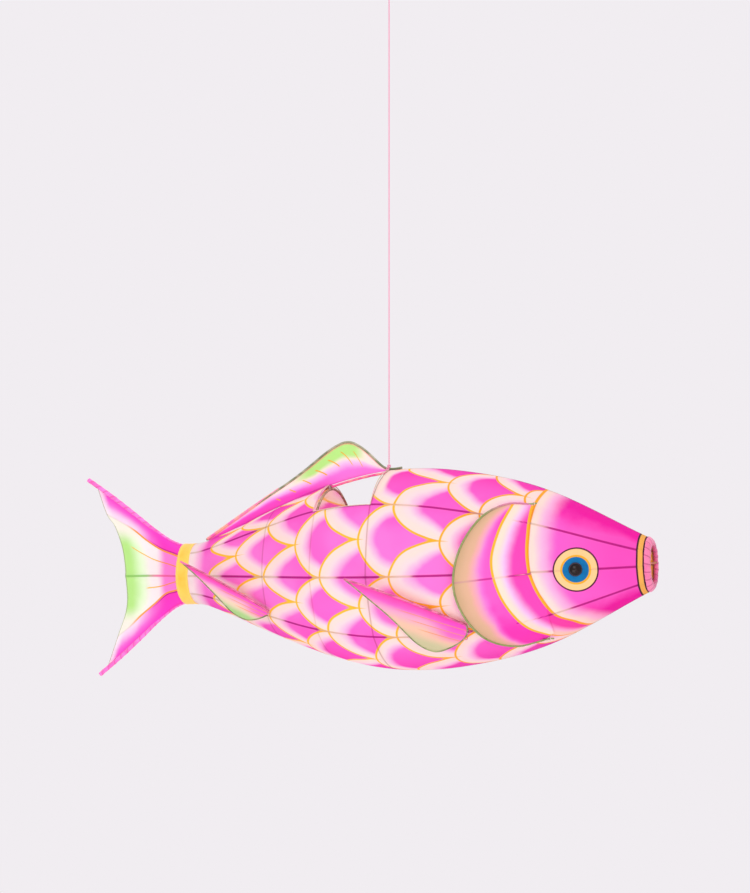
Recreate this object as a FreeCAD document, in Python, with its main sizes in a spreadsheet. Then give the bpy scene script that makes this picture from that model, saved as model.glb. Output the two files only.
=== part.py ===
"""A hanging fish: painted cloth stretched over a split-bamboo frame, hung from one thread.

The fish is drawn level in its own coordinates: +X towards the mouth, +Y to the fish's left, +Z up, with the
origin on the body's axis inside the girth ring. It is then tipped nose up a little and lowered, so that the
model's origin is the point that the thread's loop hangs from.
"""
import FreeCAD, Part

import math
import os

from FreeCAD import Placement, Rotation, Vector

SIZES = {
    # hanging
    "hang_drop": 621.0,  # from the hanging point down to the knot on the back
    "nose_up": 2.0,  # degrees
    "thread_diameter": 1.4,
    "loop_width": 14.0,
    "loop_height": 26.0,
    "knot_diameter": 5.0,
    "turning_gap": 0.4,
    # rods, cloth and the room between them
    "rib_diameter": 2.6,
    "ring_diameter": 3.0,
    "wire_diameter": 2.0,
    "lashing_diameter": 0.8,
    "cloth": 0.6,
    "fin_cloth": 0.8,
    "rib_room": 1.1,  # between the skin and a rib, for the lashings
    "ring_room": 0.35,  # between a rib and a ring inside it
    "hinge_room": 0.5,  # between the pieces that move and those that don't
    "tie_room": 1.8,  # sideways from the skin to a fin's ties
    "seam": 0.25,  # half the gap between two panels
    # rings: place along the body, half height, half width
    "tail_x": -278.0,
    "tail_high": 37.6,
    "tail_wide": 32.5,
    "wrist_x": -248.0,
    "wrist_high": 41.5,
    "wrist_wide": 36.0,
    "rear_x": -149.0,
    "rear_high": 82.5,
    "rear_wide": 68.0,
    "back_x": -76.5,
    "back_high": 109.0,
    "back_wide": 95.5,
    "girth_x": 0.0,
    "girth_high": 124.3,
    "girth_wide": 107.5,
    "shoulder_x": 90.0,
    "shoulder_high": 121.5,
    "shoulder_wide": 105.0,
    "gill_x": 200.0,
    "gill_high": 95.5,
    "gill_wide": 83.0,
    "mouth_x": 327.0,
    "mouth_high": 33.0,
    "mouth_wide": 28.5,
    # ribs: degrees above the fish's side
    "upper_rib_rear": 45.0,
    "upper_rib_front": 30.0,
    "middle_rib": -2.0,
    "lower_rib": -39.0,
    # mouth
    "binding_thickness": 8.4,
    "binding_high": 25.8,
    "binding_wide": 21.8,
    "crossbar_rise": 1.5,
    # bands of cloth round the tail ring
    "band_width": 15.0,
    # dorsal fin
    "dorsal_tail_x": -249.0,
    "dorsal_peak_x": -53.0,
    "dorsal_peak_z": 161.5,
    "dorsal_toe_x": 17.0,
    "spar_diameter": 2.8,
    # tail fin
    "tail_tip_x": -412.0,
    "tail_tip_high": 125.0,
    "tail_low_tip_x": -404.0,
    "tail_tip_low": 128.0,
    "tail_notch_x": -363.0,
    "tail_pinch_x": -338.0,
    "tail_spar_diameter": 4.4,
    # pectoral fins: top of the root, foot of the root and tip, on the fish's left
    "pectoral_root_x": 119.0,
    "pectoral_root_y": 93.0,
    "pectoral_root_z": -61.5,
    "pectoral_heel_x": 102.0,
    "pectoral_heel_y": 77.5,
    "pectoral_heel_z": -89.0,
    "pectoral_tip_x": -16.0,
    "pectoral_tip_y": 140.0,
    "pectoral_tip_z": -4.5,
    "pectoral_depth": 57.0,
    # rear fins, the same
    "anal_root_x": -145.0,
    "anal_root_y": 64.5,
    "anal_root_z": -41.0,
    "anal_heel_x": -145.0,
    "anal_heel_y": 59.0,
    "anal_heel_z": -51.0,
    "anal_tip_x": -251.5,
    "anal_tip_y": 83.0,
    "anal_tip_z": 19.0,
    "anal_depth": 35.0,
    # gill covers: their reach back from the gill ring, and how far they stand off the body
    "cover_long": 87.0,
    "cover_high": 86.0,
    "cover_drop": 8.0,
    "cover_front": 5.0,
    "cover_rear": 13.5,
    # eyes
    "eye_x": 250.5,
    "pupil_radius": 8.4,
    "pupil_height": 4.2,
    "pupil_lift": 0.5,
}

document = FreeCAD.newDocument("hanging_fish")
sheet = document.addObject("Spreadsheet::Sheet", "Sizes")
for row, (name, value) in enumerate(SIZES.items(), 1):
    sheet.set(f"A{row}", name)
    sheet.set(f"B{row}", str(value))
    sheet.setAlias(f"B{row}", name)
document.recompute()

parts = []


def size(name):
    """A driving dimension, as the sheet holds it."""
    return float(sheet.get(name))


# ---------------------------------------------------------------- where things go

RINGS = ("tail", "rear", "back", "girth", "gill")
STATIONS = ("tail", "wrist", "rear", "back", "girth", "shoulder", "gill", "mouth")
RIBS = ("top", "upper", "middle", "lower", "bottom")

back_height = size("girth_high")
knot_height = back_height + size("spar_diameter") + size("knot_diameter") / 2
tip = math.radians(size("nose_up"))
FISH = Placement(
    Vector(knot_height * math.sin(tip), 0, -size("hang_drop") - knot_height * math.cos(tip)),
    Rotation(Vector(0, 1, 0), -size("nose_up")),
)


def keep(item, label, placement=None):
    """Names a finished sub-part, puts it in the fish's place and lists it for export."""
    item.Label = label
    item.Placement = FISH if placement is None else placement
    parts.append(item)
    return item


def feature(label, shape, placement=None):
    """A sub-part whose shape is worked out here."""
    item = document.addObject("Part::Feature", label)
    item.Shape = shape
    return keep(item, label, placement)


def mirror_y(point, side):
    """The same point on the fish's left (side 1) or right (side -1)."""
    return Vector(point.x, side * point.y, point.z)


SIDES = {"right": -1, "left": 1}


# ---------------------------------------------------------------- the body's form


def smooth(x, xs, values):
    """A smooth curve through the values at xs."""
    last = len(xs) - 1
    slopes = []
    for i in range(last + 1):
        low, high = max(i - 1, 0), min(i + 1, last)
        slopes.append((values[high] - values[low]) / (xs[high] - xs[low]))
    i = max(k for k in range(last) if k == 0 or xs[k] <= x)
    span = xs[i + 1] - xs[i]
    s = (x - xs[i]) / span
    return (
        values[i] * (2 * s**3 - 3 * s**2 + 1)
        + slopes[i] * span * (s**3 - 2 * s**2 + s)
        + values[i + 1] * (3 * s**2 - 2 * s**3)
        + slopes[i + 1] * span * (s**3 - s**2)
    )


def smooth_back(x, xs, values):
    """smooth, for places listed from front to back."""
    return smooth(x, xs[::-1], values[::-1])


STATION_X = [size(f"{name}_x") for name in STATIONS]
HALF_HEIGHTS = [size(f"{name}_high") for name in STATIONS]
HALF_WIDTHS = [size(f"{name}_wide") for name in STATIONS]


def half_height(x):
    return smooth(x, STATION_X, HALF_HEIGHTS)


def half_width(x):
    return smooth(x, STATION_X, HALF_WIDTHS)


def on_body(x, angle, depth=0.0):
    """The point of the skin at x, angle degrees up from the fish's left, set in by depth."""
    turn = math.radians(angle)
    return Vector(
        x,
        (half_width(x) - depth) * math.cos(turn),
        (half_height(x) - depth) * math.sin(turn),
    )


def side_of_body(x, z):
    """How far the skin stands out to the side at x and z."""
    share = min(abs(z) / half_height(x), 1.0)
    return half_width(x) * math.sqrt(1 - share**2)


def rib_angle(rib, x):
    """Degrees up from the fish's left at which a left-hand rib runs at x."""
    if rib == "upper":
        back, mouth = size("back_x"), size("mouth_x")
        share = min(max((x - back) / (mouth - back), 0.0), 1.0)
        return size("upper_rib_rear") + share * (size("upper_rib_front") - size("upper_rib_rear"))
    return {"top": 90.0, "middle": size("middle_rib"), "lower": size("lower_rib"), "bottom": -90.0}[rib]


# ---------------------------------------------------------------- rods, wires and cloth


FLAT_SHARE = 1e-4  # a bend below this share of the chord counts as straight
RING_POINTS = 12  # the points that an oval ring's arcs run through
HOOP_POINTS = 25  # the points that a gill hoop's arcs run through


def curve_through(points, closed=False):
    curve = Part.BSplineCurve()
    curve.interpolate(Points=points, PeriodicFlag=closed)
    return curve


def arc_edge(start, tangent, end):
    """The arc from start to end that leaves start along the tangent, or a line where it would be flat."""
    chord = end - start
    across = chord - tangent * chord.dot(tangent)
    if across.Length < FLAT_SHARE * chord.Length:
        return Part.LineSegment(start, end).toShape()
    radius = chord.dot(chord) / (2 * across.Length)
    centre = start + across.normalize() * radius
    outward = ((start - centre) + (end - centre)).normalize()
    return Part.Arc(start, centre + outward * radius, end).toShape()


def arc_pair(start, start_tangent, end, end_tangent):
    """Two arcs that meet smoothly and have the given tangents at their outer ends."""
    chord = end - start
    sum_of_tangents = start_tangent + end_tangent
    bend = 2 * (1 - start_tangent.dot(end_tangent))
    if bend < FLAT_SHARE**2:
        reach = chord.dot(chord) / (2 * chord.dot(sum_of_tangents))
    else:
        along = chord.dot(sum_of_tangents)
        reach = (math.sqrt(along**2 + bend * chord.dot(chord)) - along) / bend
    before = start + start_tangent * reach
    after = end - end_tangent * reach
    middle = (before + after) / 2
    middle_tangent = (after - before).normalize()
    return [arc_edge(start, start_tangent, middle), arc_edge(middle, middle_tangent, end)]


def tangents_at(points, closed):
    """The direction of the smooth curve through the points, at each of them."""
    curve = curve_through(points, closed)
    return [Vector(curve.tangent(curve.parameter(p))[0]) for p in points]


def arc_chain(points, closed=False):
    """A smooth wire of arcs through the points, so that a rod along it is made of plain ring segments."""
    tangents = tangents_at(points, closed)
    ends = list(zip(points, tangents))
    if closed:
        ends.append(ends[0])
    edges = []
    for (start, start_tangent), (end, end_tangent) in zip(ends, ends[1:]):
        edges += arc_pair(start, start_tangent, end, end_tangent)
    return Part.Wire(edges)


def rod(label, points, diameter, placement=None, closed=False):
    """A round rod along a smooth curve through the points."""
    path = document.addObject("Part::Feature", f"{label}_path")
    path.Shape = arc_chain(points, closed)
    section = document.addObject("Part::Circle", f"{label}_section")
    section.setExpression("Radius", f"Sizes.{diameter} / 2")
    start = tangents_at(points, closed)[0]
    section.Placement = Placement(points[0], Rotation(Vector(0, 0, 1), start))
    sweep = document.addObject("Part::Sweep", label)
    sweep.Sections = [section]
    sweep.Spine = (path, [f"Edge{i + 1}" for i in range(len(path.Shape.Edges))])
    sweep.Solid = True
    return keep(sweep, label, placement)


def oval_ring(label, x, high, wide, diameter):
    """A rod bent into an upright oval ring."""
    turns = [2 * math.pi * i / RING_POINTS for i in range(RING_POINTS)]
    oval = [Vector(x, wide * math.sin(turn), high * math.cos(turn)) for turn in turns]
    return rod(label, oval, diameter, closed=True)


def thin_panel(outer, inner):
    """A closed sheet of cloth between two grids of points."""
    faces = []
    for grid in (outer, inner):
        surface = Part.BSplineSurface()
        surface.interpolate(grid)
        faces.append(surface.toShape())
    sides = [Part.makeRuledSurface(a, b) for a, b in zip(faces[0].Edges, faces[1].Edges)]
    shell = Part.makeShell(faces + sides)
    shell.sewShape()
    solid = Part.makeSolid(shell)
    if solid.Volume < 0:
        solid.reverse()
    return solid


def spread(start, end, count):
    """Evenly spaced values from start to end."""
    return [start + (end - start) * i / (count - 1) for i in range(count)]


def ring_lashing(centre, axis, radius, diameter):
    """One turn of thread round a rod."""
    return Part.makeTorus(radius, diameter / 2, centre, axis)


# ---------------------------------------------------------------- hanging thread


def hanging():
    thread = size("thread_diameter")
    loop_high, loop_wide = size("loop_height"), size("loop_width")
    knot = size("knot_diameter")

    line = document.addObject("Part::Cylinder", "hanging_thread")
    line.setExpression("Radius", "Sizes.thread_diameter / 2")
    line.setExpression(
        "Height", "Sizes.hang_drop - Sizes.loop_height - Sizes.knot_diameter - Sizes.turning_gap"
    )
    bottom = -size("hang_drop") + knot / 2 + size("turning_gap")
    keep(line, "hanging_thread", Placement(Vector(0, 0, bottom), Rotation()))

    # the loop: a teardrop of thread closed by a knot, with the hanging point inside its top
    top = Vector(0, 0, thread / 2)
    right = Vector(loop_wide / 2, 0, thread / 2 - loop_wide / 2)
    left = Vector(-loop_wide / 2, 0, thread / 2 - loop_wide / 2)
    foot = -loop_high + knot / 4
    bend = [Vector(0.6, 0, foot), right, top, left, Vector(-0.6, 0, foot)]
    section = Part.Wire([Part.Circle(bend[0], tangents_at(bend, False)[0], thread / 2).toShape()])
    loop = arc_chain(bend).makePipeShell([section], True, False)
    ball = Part.makeSphere(knot / 2, Vector(0, 0, -loop_high))
    feature("hanging_loop", loop.fuse(ball).removeSplitter(), Placement())

    # the knot: a ball on the dorsal spar and a turn of thread round the spar and the top rib
    spar_top = back_height + size("spar_diameter")
    rib_bottom = back_height - size("cloth") - size("rib_room") - size("rib_diameter")
    turn_radius = (spar_top - rib_bottom) / 2 + thread / 2
    turn_x = -size("ring_diameter") / 2 - thread
    turn = ring_lashing(Vector(turn_x, 0, (spar_top + rib_bottom) / 2), Vector(1, 0, 0), turn_radius, thread)
    ball = Part.makeSphere(knot / 2, Vector(0, 0, knot_height))
    feature("hanging_knot", turn.fuse(ball).removeSplitter())


# ---------------------------------------------------------------- bamboo frame

SKIN_TO_RIB = size("cloth") + size("rib_room") + size("rib_diameter") / 2
SKIN_TO_RING = SKIN_TO_RIB + size("rib_diameter") / 2 + size("ring_diameter") / 2 + size("ring_room")
RIB_NODES = {"rib_top": ("top", 1), "rib_bottom": ("bottom", 1)}
for side_name, side in SIDES.items():
    for rib in ("upper", "middle", "lower"):
        RIB_NODES[f"rib_{rib}_{side_name}"] = (rib, side)


def rib_point(rib, side, x):
    return mirror_y(on_body(x, rib_angle(rib, x), SKIN_TO_RIB), side)


def frame():
    # the ribs' arcs run through every station and the places halfway between them
    halfway = [(a + b) / 2 for a, b in zip(STATION_X, STATION_X[1:])]
    places = [size("tail_x") + 1.0, *sorted(STATION_X[1:-1] + halfway), size("mouth_x") + 0.5]
    for node, (rib, side) in RIB_NODES.items():
        rod(node, [rib_point(rib, side, x) for x in places], "rib_diameter")
    for ring in RINGS:
        x = size(f"{ring}_x") + (size("ring_diameter") if ring == "tail" else 0.0)
        oval_ring(
            f"{ring}_ring",
            x,
            half_height(x) - SKIN_TO_RING,
            half_width(x) - SKIN_TO_RING,
            "ring_diameter",
        )


def frame_lashings():
    """A turn of thread round each rib, close behind each ring. The hanging knot ties the girth ring's top."""
    thickness = size("lashing_diameter")
    radius = size("rib_diameter") / 2 + 0.2 + thickness / 2
    turns = []
    for ring in RINGS[1:]:
        x = size(f"{ring}_x") - size("ring_diameter") / 2 - 2 * thickness
        for rib, side in RIB_NODES.values():
            if (ring, rib) == ("girth", "top"):
                continue
            here = rib_point(rib, side, x)
            along = rib_point(rib, side, x + 1) - rib_point(rib, side, x - 1)
            turns.append(ring_lashing(here, along, radius, thickness))
    feature("frame_lashings", Part.makeCompound(turns))


def mouth():
    """The hoop of the mouth, wound with cloth, and the stick across it."""
    thick = size("binding_thickness")
    x = size("mouth_x") + thick / 2 + 0.4
    oval_ring("mouth_hoop", x, size("binding_high"), size("binding_wide"), "ring_diameter")
    oval_ring("mouth_binding", x, size("binding_high"), size("binding_wide"), "binding_thickness")
    reach = size("binding_wide") - thick / 2 - 0.3
    bar = document.addObject("Part::Cylinder", "mouth_crossbar")
    bar.setExpression("Radius", "Sizes.rib_diameter / 2")
    bar.Height = 2 * reach
    place = Placement(Vector(x, -reach, size("crossbar_rise")), Rotation(Vector(1, 0, 0), -90))
    keep(bar, "mouth_crossbar", FISH.multiply(place))


# ---------------------------------------------------------------- body skin


def gores():
    """The cloth's eight gores, as pairs of ribs in order round the body, each rib with its side."""
    left = [(rib, 1) for rib in RIBS]
    right = [(rib, -1) for rib in reversed(RIBS[1:-1])]
    around = left + right
    return list(zip(around, around[1:] + around[:1]))


def full_angle(rib, side, x):
    """A rib's place round the body, 90 at the top and falling to -270."""
    angle = rib_angle(rib, x)
    return angle if side == 1 else -180 - angle


def gore_panel(first, second, start, end):
    """The panel of one gore between two rings."""
    rows = spread(start + size("seam"), end - size("seam"), 7)
    grids = []
    for depth in (0.0, size("cloth")):
        grid = []
        for x in rows:
            high = full_angle(*first, x)
            low = full_angle(*second, x)
            low -= 360 if low > high else 0
            inset = math.degrees(size("seam") / half_width(x))
            grid.append([on_body(x, a, depth) for a in spread(high - inset, low + inset, 6)])
        grids.append(grid)
    return thin_panel(*grids)


def body_skin():
    upper_ribs = {"top", "upper", "middle"}
    stretches = {
        "skin_tail": ("tail", "rear"),
        "skin_rear": ("rear", "back"),
        "skin_back": ("back", "girth"),
        "skin_shoulder_upper": ("girth", "gill"),
        "skin_shoulder_lower": ("girth", "gill"),
        "skin_head": ("gill", "mouth"),
    }
    for node, (start, end) in stretches.items():
        panels = []
        for first, second in gores():
            is_hatch = node == "skin_back" and {first[0], second[0]} == {"top", "upper"}
            is_upper = {first[0], second[0]} <= upper_ribs
            in_node = "shoulder" not in node or is_upper == node.endswith("upper")
            if in_node and not is_hatch:
                panels.append(gore_panel(first, second, size(f"{start}_x"), size(f"{end}_x")))
        feature(node, Part.makeCompound(panels))


def tail_band():
    """A band of cloth round the tail's ring, over the skin."""
    width, cloth = size("band_width"), size("cloth")
    start = size("tail_x")
    inner_gap = 0.1 + max(half_height(start + width) - half_height(start), 0)
    tubes = []
    for grow in (inner_gap, inner_gap + cloth):
        oval = document.addObject("Part::Ellipse", "band_oval")
        oval.MajorRadius = half_height(start) + grow
        oval.MinorRadius = half_width(start) + grow
        oval.Placement = Placement(Vector(start, 0, 0), Rotation(Vector(0, 1, 0), -90))
        tube = document.addObject("Part::Extrusion", "band_tube")
        tube.Base = oval
        tube.Dir = Vector(1, 0, 0)
        tube.setExpression("LengthFwd", "Sizes.band_width")
        tube.Solid = True
        tubes.append(tube)
    band = document.addObject("Part::Cut", "tail_band")
    band.Base = tubes[1]
    band.Tool = tubes[0]
    keep(band, "tail_band")


# ---------------------------------------------------------------- flat fins


def origin_plane(body, role):
    return next(item for item in body.Origin.OriginFeatures if item.Role == role)


def cloth_plate(label, edges, placement):
    """A flat sheet of cloth, padded both ways from an outline of curves in its own XY plane."""
    body = document.addObject("PartDesign::Body", label)
    sketch = body.newObject("Sketcher::SketchObject", f"{label}_outline")
    sketch.AttachmentSupport = (origin_plane(body, "XY_Plane"), [""])
    sketch.MapMode = "FlatFace"
    for edge in edges:
        sketch.addGeometry(edge, False)
    document.recompute()
    pad = body.newObject("PartDesign::Pad", f"{label}_pad")
    pad.Profile = sketch
    pad.setExpression("Length", "Sizes.fin_cloth")
    pad.Midplane = True
    return keep(body, label, placement)


def upright(point):
    """A point of the fish's middle plane, as the plate of an upright fin has it."""
    return Vector(point[0], point[1], 0)


UPRIGHT = Placement(Vector(), Rotation(Vector(1, 0, 0), 90))


def in_middle_plane(point):
    return Vector(point[0], 0, point[1])


def dorsal_fin():
    """An upright fin along the back, over the hatch, held by one bent spar."""
    tail_x, peak_x, peak_z = size("dorsal_tail_x"), size("dorsal_peak_x"), size("dorsal_peak_z")
    toe_x, spar = size("dorsal_toe_x"), size("spar_diameter")
    over_skin = spar / 2 + 0.6
    toe_z = back_height + over_skin
    climb = peak_z - half_height(tail_x)
    crest = [
        (tail_x, half_height(tail_x) + over_skin),
        (tail_x + 0.36 * (peak_x - tail_x), half_height(tail_x) + 0.38 * climb),
        (tail_x + 0.72 * (peak_x - tail_x), half_height(tail_x) + 0.745 * climb),
        (peak_x - 17.0, peak_z - 5.0),
        (peak_x, peak_z),
        (peak_x + 16.0, peak_z - 6.5),
        (peak_x + 38.0, peak_z - 26.0),
        (peak_x + 50.0, toe_z + 0.6),
        (0.0, toe_z),
        (toe_x, half_height(toe_x) + over_skin),
    ]
    rod("dorsal_fin_spar", [in_middle_plane(p) for p in crest], "spar_diameter")

    top = curve_through([upright(p) for p in crest[:-2]])
    first, last = crest[0], crest[-3]
    base = [(x, half_height(x) + 0.35) for x in spread(first[0] + 2.0, last[0] - 1.0, 9)]
    bottom = curve_through([upright(p) for p in base])
    edges = [
        top,
        bottom,
        Part.LineSegment(upright(first), upright(base[0])),
        Part.LineSegment(upright(last), upright(base[-1])),
    ]
    cloth_plate("dorsal_fin_skin", edges, FISH.multiply(UPRIGHT))


def tail_edge(sign, tip_x, tip_high):
    """The line of the tail's upper (sign 1) or lower (-1) spar, from the ring to the tip."""
    start = size("tail_x") - 1.0
    root = half_height(start) - size("tail_spar_diameter") / 2 - 0.4
    reach = start - tip_x
    rise = tip_high - root
    return [
        (start, sign * root),
        (start - 0.15 * reach, sign * (root + 0.09 * rise)),
        (start - 0.33 * reach, sign * (root + 0.27 * rise)),
        (start - 0.52 * reach, sign * (root + 0.49 * rise)),
        (start - 0.76 * reach, sign * (root + 0.755 * rise)),
        (tip_x, sign * tip_high),
    ]


def tail():
    """The forked tail: two sheets that close from the ring to a flat fin, and three spars."""
    upper = tail_edge(1, size("tail_tip_x"), size("tail_tip_high"))
    lower = tail_edge(-1, size("tail_low_tip_x"), size("tail_tip_low"))
    notch_x = size("tail_notch_x")
    rod("tail_spar_upper", [in_middle_plane(p) for p in upper], "tail_spar_diameter")
    rod("tail_spar_lower", [in_middle_plane(p) for p in lower], "tail_spar_diameter")
    middle = [(x, 0.0) for x in spread(size("tail_x") - 1.0, notch_x, 3)]
    rod("tail_spar_middle", [in_middle_plane(p) for p in middle], "wire_diameter")

    trailing = [
        upper[-1],
        (notch_x - 27.0, 0.72 * size("tail_tip_high")),
        (notch_x - 13.0, 0.47 * size("tail_tip_high")),
        (notch_x - 1.0, 0.16 * size("tail_tip_high")),
        (notch_x - 1.0, -0.03 * size("tail_tip_low")),
        (notch_x + 1.0, -0.25 * size("tail_tip_low")),
        (notch_x - 5.0, -0.48 * size("tail_tip_low")),
        (notch_x - 20.0, -0.72 * size("tail_tip_low")),
        lower[-1],
    ]
    edges = [
        curve_through([upright(p) for p in upper]),
        curve_through([upright(p) for p in trailing]),
        curve_through([upright(p) for p in lower]),
        Part.LineSegment(upright(upper[0]), upright(lower[0])),
    ]
    cloth_plate("tail_fin_skin", edges, FISH.multiply(UPRIGHT))

    # each sheet starts on half of the ring's oval and lies flat on the fin at the pinch
    top_line = [p[0] for p in upper], [p[1] for p in upper]
    low_line = [p[0] for p in lower], [p[1] for p in lower]
    start, end = size("tail_x") - 1.0, size("tail_pinch_x")
    clear = size("tail_spar_diameter") / 2 + 0.9
    plate_side = size("wire_diameter") / 2 + 0.2
    sheets = []
    for side in SIDES.values():
        grids = []
        for lift in (size("cloth"), 0.0):
            grid = []
            for x in spread(start, end, 7):
                share = (x - start) / (end - start)
                top = smooth_back(x, *top_line) - clear
                low = smooth_back(x, *low_line) + clear
                bulge = (half_width(size("tail_x")) - 1.0) * (1 - share) ** 1.6
                line = []
                for angle in spread(90, -90, 9):
                    turn = math.radians(angle)
                    out = plate_side + lift + bulge * abs(math.cos(turn)) ** 0.8
                    height = (top + low) / 2 + (top - low) / 2 * math.sin(turn)
                    line.append(Vector(x, side * out, height))
                grid.append(line)
            grids.append(grid)
        sheets.append(thin_panel(*grids))
    feature("tail_root_skin", Part.makeCompound(sheets))


# ---------------------------------------------------------------- paired fins


def point(name):
    """A point of the fish's left side, from its three cells."""
    return Vector(size(f"{name}_x"), size(f"{name}_y"), size(f"{name}_z"))


def fin_place(fin, side):
    """The plane of a paired fin: its x runs from the root to the tip and its y down the fin."""
    root, heel, end = (mirror_y(point(f"{fin}_{part}"), side) for part in ("root", "heel", "tip"))
    along = (end - root).normalize()
    down = along.cross((heel - root).cross(along)).normalize()
    return Placement(root, Rotation(along, down, along.cross(down), "XYZ")), (end - root).Length


FIN_FORMS = {
    # the lower edge, as shares of the fin's length and depth, from the root round to the tip
    "pectoral": [
        (-0.02, 0.05),
        (-0.052, 0.28),
        (-0.02, 0.56),
        (0.05, 0.82),
        (0.115, 0.97),
        (0.19, 1.0),
        (0.29, 0.935),
        (0.39, 0.79),
        (0.55, 0.54),
        (0.70, 0.35),
        (0.85, 0.17),
        (1.0, 0.0),
    ],
    "anal": [
        (-0.035, 0.12),
        (-0.03, 0.32),
        (0.01, 0.53),
        (0.08, 0.80),
        (0.15, 0.96),
        (0.235, 1.0),
        (0.32, 0.96),
        (0.43, 0.79),
        (0.55, 0.59),
        (0.66, 0.42),
        (0.80, 0.22),
        (0.93, 0.07),
        (1.0, 0.0),
    ],
}


def paired_fin(fin, name, side_name):
    """One fin: cloth, a straight spar along its top and a wire round the rest of its edge."""
    side = SIDES[side_name]
    place, length = fin_place(fin, side)
    depth = size(f"{fin}_depth")
    edge = [Vector(a * length, b * depth, 0) for a, b in FIN_FORMS[fin]]
    lower = curve_through(edge)
    bow = Vector(length * 0.5, -0.006 * length, 0)
    top = curve_through([edge[-1], bow, edge[0]])
    plane = FISH.multiply(place)
    cloth_plate(f"{name}_skin_{side_name}", [lower, top], plane)
    rod(f"{name}_spar_{side_name}", [edge[0], bow, edge[-1]], "rib_diameter", plane)
    wire_start = 1 if fin == "anal" else 0
    rod(f"{name}_wire_{side_name}", edge[wire_start:], "wire_diameter", plane)


HINGE_STRETCH = {
    # the straight stretch of the root edge, top and foot, as the same shares
    "pectoral": ((-0.045, 0.14), (-0.045, 0.44)),
    "anal": ((-0.036, 0.10), (-0.034, 0.32)),
}


def fin_hinge(fin, side):
    """The two ends, top and foot, of the root edge's straight stretch, which the fin swings about."""
    place, length = fin_place(fin, side)
    depth = size(f"{fin}_depth")
    ends = HINGE_STRETCH[fin]
    return [place.multVec(Vector(a * length, b * depth, 0)) for a, b in ends]


def fin_ties(fin, name, side_name, places):
    """Loops of thread round a fin's root edge. They swing with the fin, just clear of the skin."""
    side = SIDES[side_name]
    top, foot = fin_hinge(fin, 1)
    thread = size("lashing_diameter") * 1.25
    loops = []
    for share in places:
        here = top + (foot - top) * share
        skin_y = side_of_body(here.x, here.z)
        outer = here.y + size("rib_diameter") / 2 + thread
        inner = skin_y + size("tie_room")
        centre = Vector(here.x, (outer + inner) / 2, here.z)
        radius = (outer - inner - thread) / 2
        loops.append(ring_lashing(mirror_y(centre, side), mirror_y(foot - top, side), radius, thread))
    feature(f"{name}_ties_{side_name}", Part.makeCompound(loops))


# ---------------------------------------------------------------- gill covers


def cover_point(x, z, lift, side):
    """A point over the body's side, lifted sideways off the skin."""
    return Vector(x, side * (side_of_body(x, z) + lift), z)


# the hoop in side view from its top end back and down, as shares of the cover's length and half height
HOOP_BACK = (0.06, 0.36, 0.655, 0.90, 1.0, 0.92, 0.69, 0.345, -0.035)
HOOP_UP = (1.0, 1.005, 0.83, 0.42, -0.06, -0.49, -0.86, -0.995, -0.92)


def hoop_line(share):
    """The hoop's x, z and lift off the body, share 0 at its top end and 1 at its bottom end."""
    steps = list(range(len(HOOP_BACK)))
    at = share * steps[-1]
    x = size("gill_x") - size("cover_long") * smooth(at, steps, HOOP_BACK)
    z = size("cover_high") * smooth(at, steps, HOOP_UP) - size("cover_drop")
    front, rear = size("cover_front"), size("cover_rear")
    swell = max(math.sin(math.pi * share), 0.0) ** 0.8
    return x, z, front + (rear - front) * swell


HOOP_END = 0.035  # how far each end of the hoop runs on past the cover, as a share of the hoop


def hoop_point(share, side):
    x, z, lift = hoop_line(share)
    return cover_point(x, z, lift - size("cloth") / 2, side)


def cover_front_line(share):
    """The cover's front edge, at the gill ring."""
    top_x, top_z, _ = hoop_line(0.0)
    low_x, low_z, _ = hoop_line(1.0)
    return top_x + 6.0 + (low_x - top_x) * share, (top_z - 7.0) + (low_z - top_z + 14.0) * share


def gill_cover(side_name):
    """A sheet of cloth from the gill ring back to a bent hoop, stiffened by one strut."""
    side = SIDES[side_name]
    front_lift = size("cover_front")
    grids = []
    for depth in (0.0, size("cloth")):
        grid = []
        for share in spread(0.0, 1.0, 13):
            hoop_x, hoop_z, hoop_lift = hoop_line(share)
            front_x, front_z = cover_front_line(share)
            line = []
            for across in spread(0.0, 1.0, 7):
                x = front_x + (hoop_x - front_x) * across
                z = front_z + (hoop_z - front_z) * across
                lift = front_lift + (hoop_lift - front_lift) * across
                line.append(cover_point(x, z, lift - depth, side))
            grid.append(line)
        grids.append(grid)
    feature(f"gill_cover_{side_name}", thin_panel(*grids))

    hoop = [hoop_point(share, side) for share in spread(-HOOP_END, 1.0 + HOOP_END, HOOP_POINTS)]
    rod(f"gill_hoop_{side_name}", hoop, "wire_diameter")

    hoop_x, hoop_z, hoop_lift = hoop_line(0.5)
    front_x, front_z = cover_front_line(0.5)
    under = size("cloth") + size("wire_diameter") / 2 + 0.1
    strut = []
    for across in spread(0.04, 0.985, 6):
        x = front_x + (hoop_x - front_x) * across
        z = front_z + (hoop_z - front_z) * across
        strut.append(cover_point(x, z, front_lift + (hoop_lift - front_lift) * across - under, side))
    rod(f"gill_strut_{side_name}", strut, "wire_diameter")


def gill_ties(side_name):
    """A loop of thread, stitched through the skin, round each end of the hoop."""
    side = SIDES[side_name]
    thread = size("lashing_diameter")
    radius = size("wire_diameter") / 2 + size("hinge_room") + thread / 2
    loops = []
    for end in (-HOOP_END * 0.6, 1.0 + HOOP_END * 0.6):
        here = hoop_point(end, side)
        along = hoop_point(end + 0.005, side) - hoop_point(end - 0.005, side)
        loops.append(ring_lashing(here, along, radius, thread))
    feature(f"gill_ties_{side_name}", Part.makeCompound(loops))


# ---------------------------------------------------------------- eyes


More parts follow.
